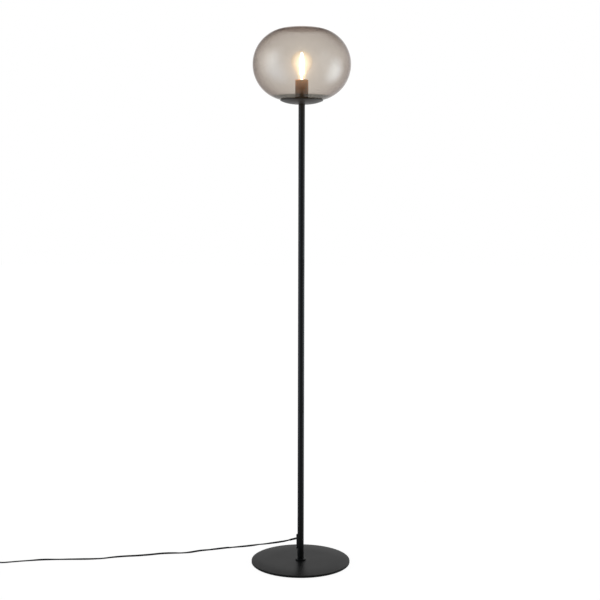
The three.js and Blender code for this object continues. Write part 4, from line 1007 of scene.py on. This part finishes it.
def makeDish():
    d = dish
    low, high = nodeBox("dish")
    bowl = ((d["radius"] - d["hub"]) ** 2 + d["bowl"] ** 2) / (2 * d["bowl"])
    outerEnd = math.degrees(math.asin((d["radius"] - d["hub"]) / bowl))
    innerEnd = math.degrees(math.asin((d["radius"] - d["wall"] - d["hub"]) / (bowl - d["wall"])))
    rings = [(d["hole"], low.z)] + arc(d["hub"], low.z + bowl, bowl, -90, outerEnd - 90, 24)
    rings += arc(d["radius"] - d["wall"] / 2, high.z - d["wall"] / 2, d["wall"] / 2, 0, 180, 10)
    rings += arc(d["hub"], low.z + bowl, bowl - d["wall"], innerEnd - 90, -90, 24)
    rings += [(d["hole"], low.z + d["wall"]), (d["hole"], low.z)]
    finishPiece(turnPiece("dish", rings, d["sides"], 40), "lamp", "black_powder", "dish")

    g = gasketRing
    low, high = nodeBox("glass_gasket")
    rings = [(g["inner"], low.z), (g["outer"], low.z + g["drop"]), (g["outer"], high.z - g["bevel"]),
             (g["outer"] - g["bevel"], high.z), (g["inner"] + g["bevel"], high.z - g["lip"] + g["bevel"]),
             (g["inner"], high.z - g["lip"]), (g["inner"], low.z)]
    ring = turnPiece("glassGasket", rings, 128)
    finishPiece(ring, "lamp", "black_rubber", "glass_gasket")


def makeHolder():
    c = holderCover
    low, high = nodeBox("holder_cover")
    inside = c["radius"] - c["wall"]
    rings = [(c["hole"], low.z), (inside, low.z)] + arc(inside, low.z + c["wall"], c["wall"], -90, 0, 6)
    rings += arc(c["radius"] - c["edge"], high.z - c["edge"], c["edge"], 0, 180, 8)
    floor = low.z + c["floor"]
    rings += [(inside, floor + c["edge"]), (inside - c["edge"], floor)]
    rings += [(c["hole"], floor), (c["hole"], low.z)]
    finishPiece(turnPiece("holderCover", rings, 96), "lamp", "bronze_paint", "holder_cover")

    s = holderSleeve
    low, high = nodeBox("holder_sleeve")
    rings = [(s["inner"], low.z), (s["outer"], low.z)]
    rings += arc(s["outer"] - s["edge"], high.z - s["edge"], s["edge"], 0, 90, 4)
    rings += [(s["inner"] + s["bevel"], high.z), (s["inner"], high.z - s["bevel"]), (s["inner"], low.z)]
    sleeve = turnPiece("holderSleeve", rings, 80)
    finishPiece(sleeve, "lamp", "ivory_plastic", "holder_sleeve")


makeDish()
makeHolder()
print("dish and lampholder made")


# bulb

screwThread = {"pitch": 3.629, "mean": 12.6, "crest": 0.5, "sides": 96, "rowsPerTurn": 12}
bulbCap = {"thread": 18.6, "bore": 11.3, "collar": 13.1, "collarBore": 12.7, "flare": 0.5,
           "step": 0.6, "edge": 0.2}
bulbGlassForm = {"radius": 30, "neckBlend": 45, "wall": 0.8, "neck": 12.4}
filament = {"radius": 0.9, "edge": 0.3, "sides": 16}


def waveThread(piece, bottom, top, runOut):
    # moves the vertices between two heights on to a right-handed rolled thread, which starts at the bottom
    # and runs out to one radius at both ends
    t = screwThread
    for vertex in piece.data.vertices:
        x, y, z = vertex.co / mm
        if not bottom + near < z < top - near:
            continue
        radius = math.hypot(x, y)
        if abs(radius - t["mean"]) > 0.01:
            continue
        share = min(max(min(z - bottom, top - z) / (t["pitch"] / 2), 0), 1)
        share = share * share * (3 - 2 * share)
        phase = 2 * math.pi * (z - bottom) / t["pitch"] - math.atan2(y, x)
        wave = t["mean"] + t["crest"] * math.cos(phase)
        new = runOut + share * (wave - runOut)
        vertex.co.x *= new / radius
        vertex.co.y *= new / radius


def makeBulb():
    t, c = screwThread, bulbCap
    low, high = nodeBox("bulb_cap")
    root, threadTop = t["mean"] - t["crest"], low.z + c["thread"]
    collar, edge, flareTop = c["collar"], c["edge"], threadTop + c["flare"]
    rows = int(c["thread"] / t["pitch"] * t["rowsPerTurn"])
    rings = [(c["bore"], low.z), (root, low.z)]
    rings += [(t["mean"], low.z + c["thread"] * i / rows) for i in range(1, rows)]
    rings += [(root, threadTop), (collar - edge / 2, flareTop), (collar, flareTop + 2 * edge)]
    rings += [(collar, high.z - edge), (collar - edge, high.z), (c["collarBore"], high.z - edge)]
    rings += [(c["collarBore"], threadTop + c["step"]), (c["bore"], threadTop - c["step"])]
    rings += [(c["bore"], low.z)]
    cap = turnPiece("bulbCap", rings, t["sides"], 50)
    waveThread(cap, low.z, threadTop, root)
    finishPiece(cap, "bulb", "nickel", "bulb_cap")

    b = bulbGlassForm
    low, high = nodeBox("bulb_glass")
    centre = high.z - b["radius"]
    span = b["radius"] + b["neckBlend"]
    drop = math.sqrt(span ** 2 - (b["neck"] + b["neckBlend"]) ** 2)
    leave = math.degrees(math.atan2(drop, b["neck"] + b["neckBlend"]))

    def skin(inset):
        blend, reach = b["neckBlend"], b["neck"] + b["neckBlend"]
        throat = arc(reach, centre - drop, blend + inset, 180, 180 - leave, steps=16)
        return throat + arc(0, centre, b["radius"] - inset, -leave, 90, steps=36)[1:]

    outer, inner = skin(0), skin(b["wall"])
    rings = [(b["neck"], low.z)] + outer
    glass = turnPiece("bulbGlass", rings, 96, 60)
    glassInside = turnPiece("bulbGlassInside", [(b["neck"] - b["wall"], low.z)] + inner, 96, 60)
    openAndJoin(glass, glassInside, low.z)
    finishPiece(glass, "bulb", "clear_glass", "bulb_glass")

    f = filament
    for i in range(1, 5):
        low, high = nodeBox(f"filament_{i}")
        middle = (low + high) / 2
        inner, edge = f["radius"] - f["edge"], f["edge"]
        rings = [(0, low.z)] + arc(inner, low.z + edge, edge, -90, 0, steps=3)
        rings += arc(inner, high.z - edge, edge, 0, 90, steps=3)
        stick = turnPiece(f"filament{i}", rings + [(0, high.z)], f["sides"])
        placePiece(stick, (middle.x, middle.y, 0))
        finishPiece(stick, "bulb", "filament", f"filament_{i}")


def openAndJoin(outside, inside, bottom):
    # takes the flat lids off two nested shells, joins them and bridges their mouths into one wall
    for shell in (outside, inside):
        pick(shell)
        levelFace(shell, bottom)
        bpy.ops.mesh.delete(type="ONLY_FACE")
        bpy.ops.object.mode_set(mode="OBJECT")
    pick(outside)
    inside.select_set(True)
    bpy.ops.object.join()
    selectWhere(outside, lambda e: all(abs(outside.data.vertices[i].co.z / mm - bottom) < near
                                       for i in e.vertices), "EDGE")
    bpy.ops.mesh.bridge_edge_loops()
    faceOutwards()
    smooth(outside, 60)


makeBulb()
print("bulb made")


# glass globe

globe = {"radius": 135, "side": 97, "crown": 97.5, "wall": 2.2, "opening": 44, "sides": 160}


def makeGlobe():
    g = globe
    low, high = nodeBox("globe")
    level = high.z - g["crown"]
    off = g["radius"] - g["side"]
    rise = g["crown"] - g["side"]
    crownDrop = (off ** 2 - rise ** 2) / (2 * rise)
    crownRadius = g["crown"] + crownDrop
    meet = math.degrees(math.atan2(crownDrop, off))
    mouth = -math.degrees(math.acos((g["opening"] - off) / g["side"]))

    def skin(inset):
        side = arc(off, level, g["side"] - inset, mouth, meet, 56)
        return side + arc(0, level - crownDrop, crownRadius - inset, meet, 90, 8)[1:]

    outer, inner = skin(0), skin(g["wall"])
    # the rim of the opening is fire-polished: half round between the two skins
    (r0, z0), (r1, z1) = inner[0], outer[0]
    middleR, middleZ, half = (r0 + r1) / 2, (z0 + z1) / 2, g["wall"] / 2
    start = math.degrees(math.atan2(z0 - middleZ, r0 - middleR))
    lip = arc(middleR, middleZ, half, start, start + 180, 8)[1:-1]
    rings = list(reversed(inner)) + lip + outer
    glass = turnPiece("globe", rings, g["sides"], 60)
    finishPiece(glass, "globe", "smoked_glass", "globe")


makeGlobe()
print("globe made")


# room

room = {"floorColour": 0.25, "floorGlow": 0.95, "reach": 14, "centre": (0, 0, 1.37),
        "front": 0.19, "behind": 0.66, "right": 1.7, "left": 0.6, "above": 0.3}
softBoxes = [
    # where the globe sees a light, how far it reaches round there, the share of its height that
    # counts, which draws it taller, and its colour
    {"toward": (-0.856, -0.350, -0.380), "reach": 0.72, "tall": 0.55, "colour": (1.2, 1.5, 1.9)},
    {"toward": (0.949, 0.017, -0.315), "reach": 0.60, "tall": 0.8, "colour": (3.6, 4.1, 4.5)},
]
bloom = {"Threshold": 1.3, "Smoothness": 0.1, "Clamp": False, "Strength": 1.0,
         "Saturation": 1.0, "Tint": (1.0, 0.86, 0.68, 1), "Size": 0.2}
glowLight = {"place": (0, 0, 1.409), "power": 12.0, "colour": (1.0, 0.56, 0.24), "size": 0.028}


def lightFrom(maker, direction):
    # what the lamp mirrors: dim in front, brighter behind, with a soft light on each side
    level = maker.ramp(maker.part(direction, "Y"), -0.3, 0.9, room["front"], room["behind"])
    level = level * maker.ramp(maker.part(direction, "Z"), 0.25, 0.65, 1.0, room["above"])
    level = level * maker.ramp(maker.part(direction, "X"), 0.0, 0.5, 1.0, room["right"])
    level = level + maker.ramp(maker.part(direction, "X"), -0.75, -0.98, 0.0, room["left"])
    light = maker.vector("SCALE", (1, 1, 1), scale=level)
    for box in softBoxes:
        away = maker.vector("SUBTRACT", direction, box["toward"])
        off = maker.vector("LENGTH", maker.vector("MULTIPLY", away, (1, 1, box["tall"])), output=1)
        glow = maker.vector("SCALE", box["colour"], scale=maker.ramp(off, box["reach"], 0.0))
        light = maker.vector("ADD", light, glow)
    return light


def makeRoom():
    r = room
    deselectAll()
    bpy.ops.mesh.primitive_plane_add(size=2 * r["reach"], location=(0, 0, 0))
    floor = bpy.context.object
    floor.name = floor.data.name = "floor"
    applyPlace(floor)
    # the floor is white where the camera sees it; in the lamp's surfaces it mirrors as the sky does
    finish = Finish("paleFloor", base_color=grey(r["floorColour"]), roughness=0.9, specular_ior_level=0.0,
                    emission_strength=1.0)
    seen = finish.node("ShaderNodeLightPath", output="Is Camera Ray")
    direction = finish.vector("NORMALIZE", finish.vector("SUBTRACT", finish.place, r["centre"]))
    finish.feed(emission_color=finish.blend(seen, lightFrom(finish, direction), grey(r["floorGlow"])))
    floor.data.materials.append(finish.material)


def makeSky():
    # white where the camera looks, and lightFrom where the lamp's surfaces mirror it
    world = bpy.data.worlds.new("studio")
    world.use_nodes = True
    maker = Maker(world.node_tree)
    direction = maker.node("ShaderNodeTexCoord", output="Generated")
    mirrored, white = (maker.node("ShaderNodeBackground", inputs={"Color": colour, "Strength": 1.0})
                       for colour in (lightFrom(maker, direction), grey(1.0)))
    seen = maker.node("ShaderNodeLightPath", output="Is Camera Ray")
    sky = maker.mixShaders(seen, mirrored, white)
    maker.join(sky, world.node_tree.nodes["World Output"].inputs["Surface"])
    bpy.context.scene.world = world


def makeLight():
    g = glowLight
    bulb = bpy.data.lights.new("bulbLight", "POINT")
    bulb.energy, bulb.color, bulb.shadow_soft_size = g["power"], g["colour"], g["size"]
    holder = bpy.data.objects.new("bulbLight", bulb)
    bpy.context.scene.collection.objects.link(holder)
    holder.location = g["place"]
    holder.visible_glossy = False


def makeGlow():
    # a soft bloom round the lit bulb, as a lens gives
    scene = bpy.context.scene
    scene.use_nodes = True
    nodes, links = scene.node_tree.nodes, scene.node_tree.links
    nodes.clear()
    layers, glare, out = (nodes.new(kind) for kind in (
        "CompositorNodeRLayers", "CompositorNodeGlare", "CompositorNodeComposite"))
    glare.glare_type = "BLOOM"
    glare.quality = "HIGH"
    for key, value in bloom.items():
        glare.inputs[key].default_value = value
    links.new(layers.outputs["Image"], glare.inputs["Image"])
    links.new(glare.outputs["Image"], out.inputs["Image"])


makeRoom()
makeSky()
makeLight()
makeGlow()
bpy.context.scene.view_settings.view_transform = "Standard"
print("room and light made")

switchPieces = [bpy.data.objects[n] for n in (
    "switchCaseLower", "switchCaseUpper", "caseScrew1", "caseScrew2", "switchPedal")]
switchPieces.append(frame["nodes"]["switch_module"])
leadLine[0] * mm
lineLength(leadLine)
[p * mm for p in leadLine]
tailLine[0] * mm
lineLength(tailLine)
[p * mm for p in tailLine]
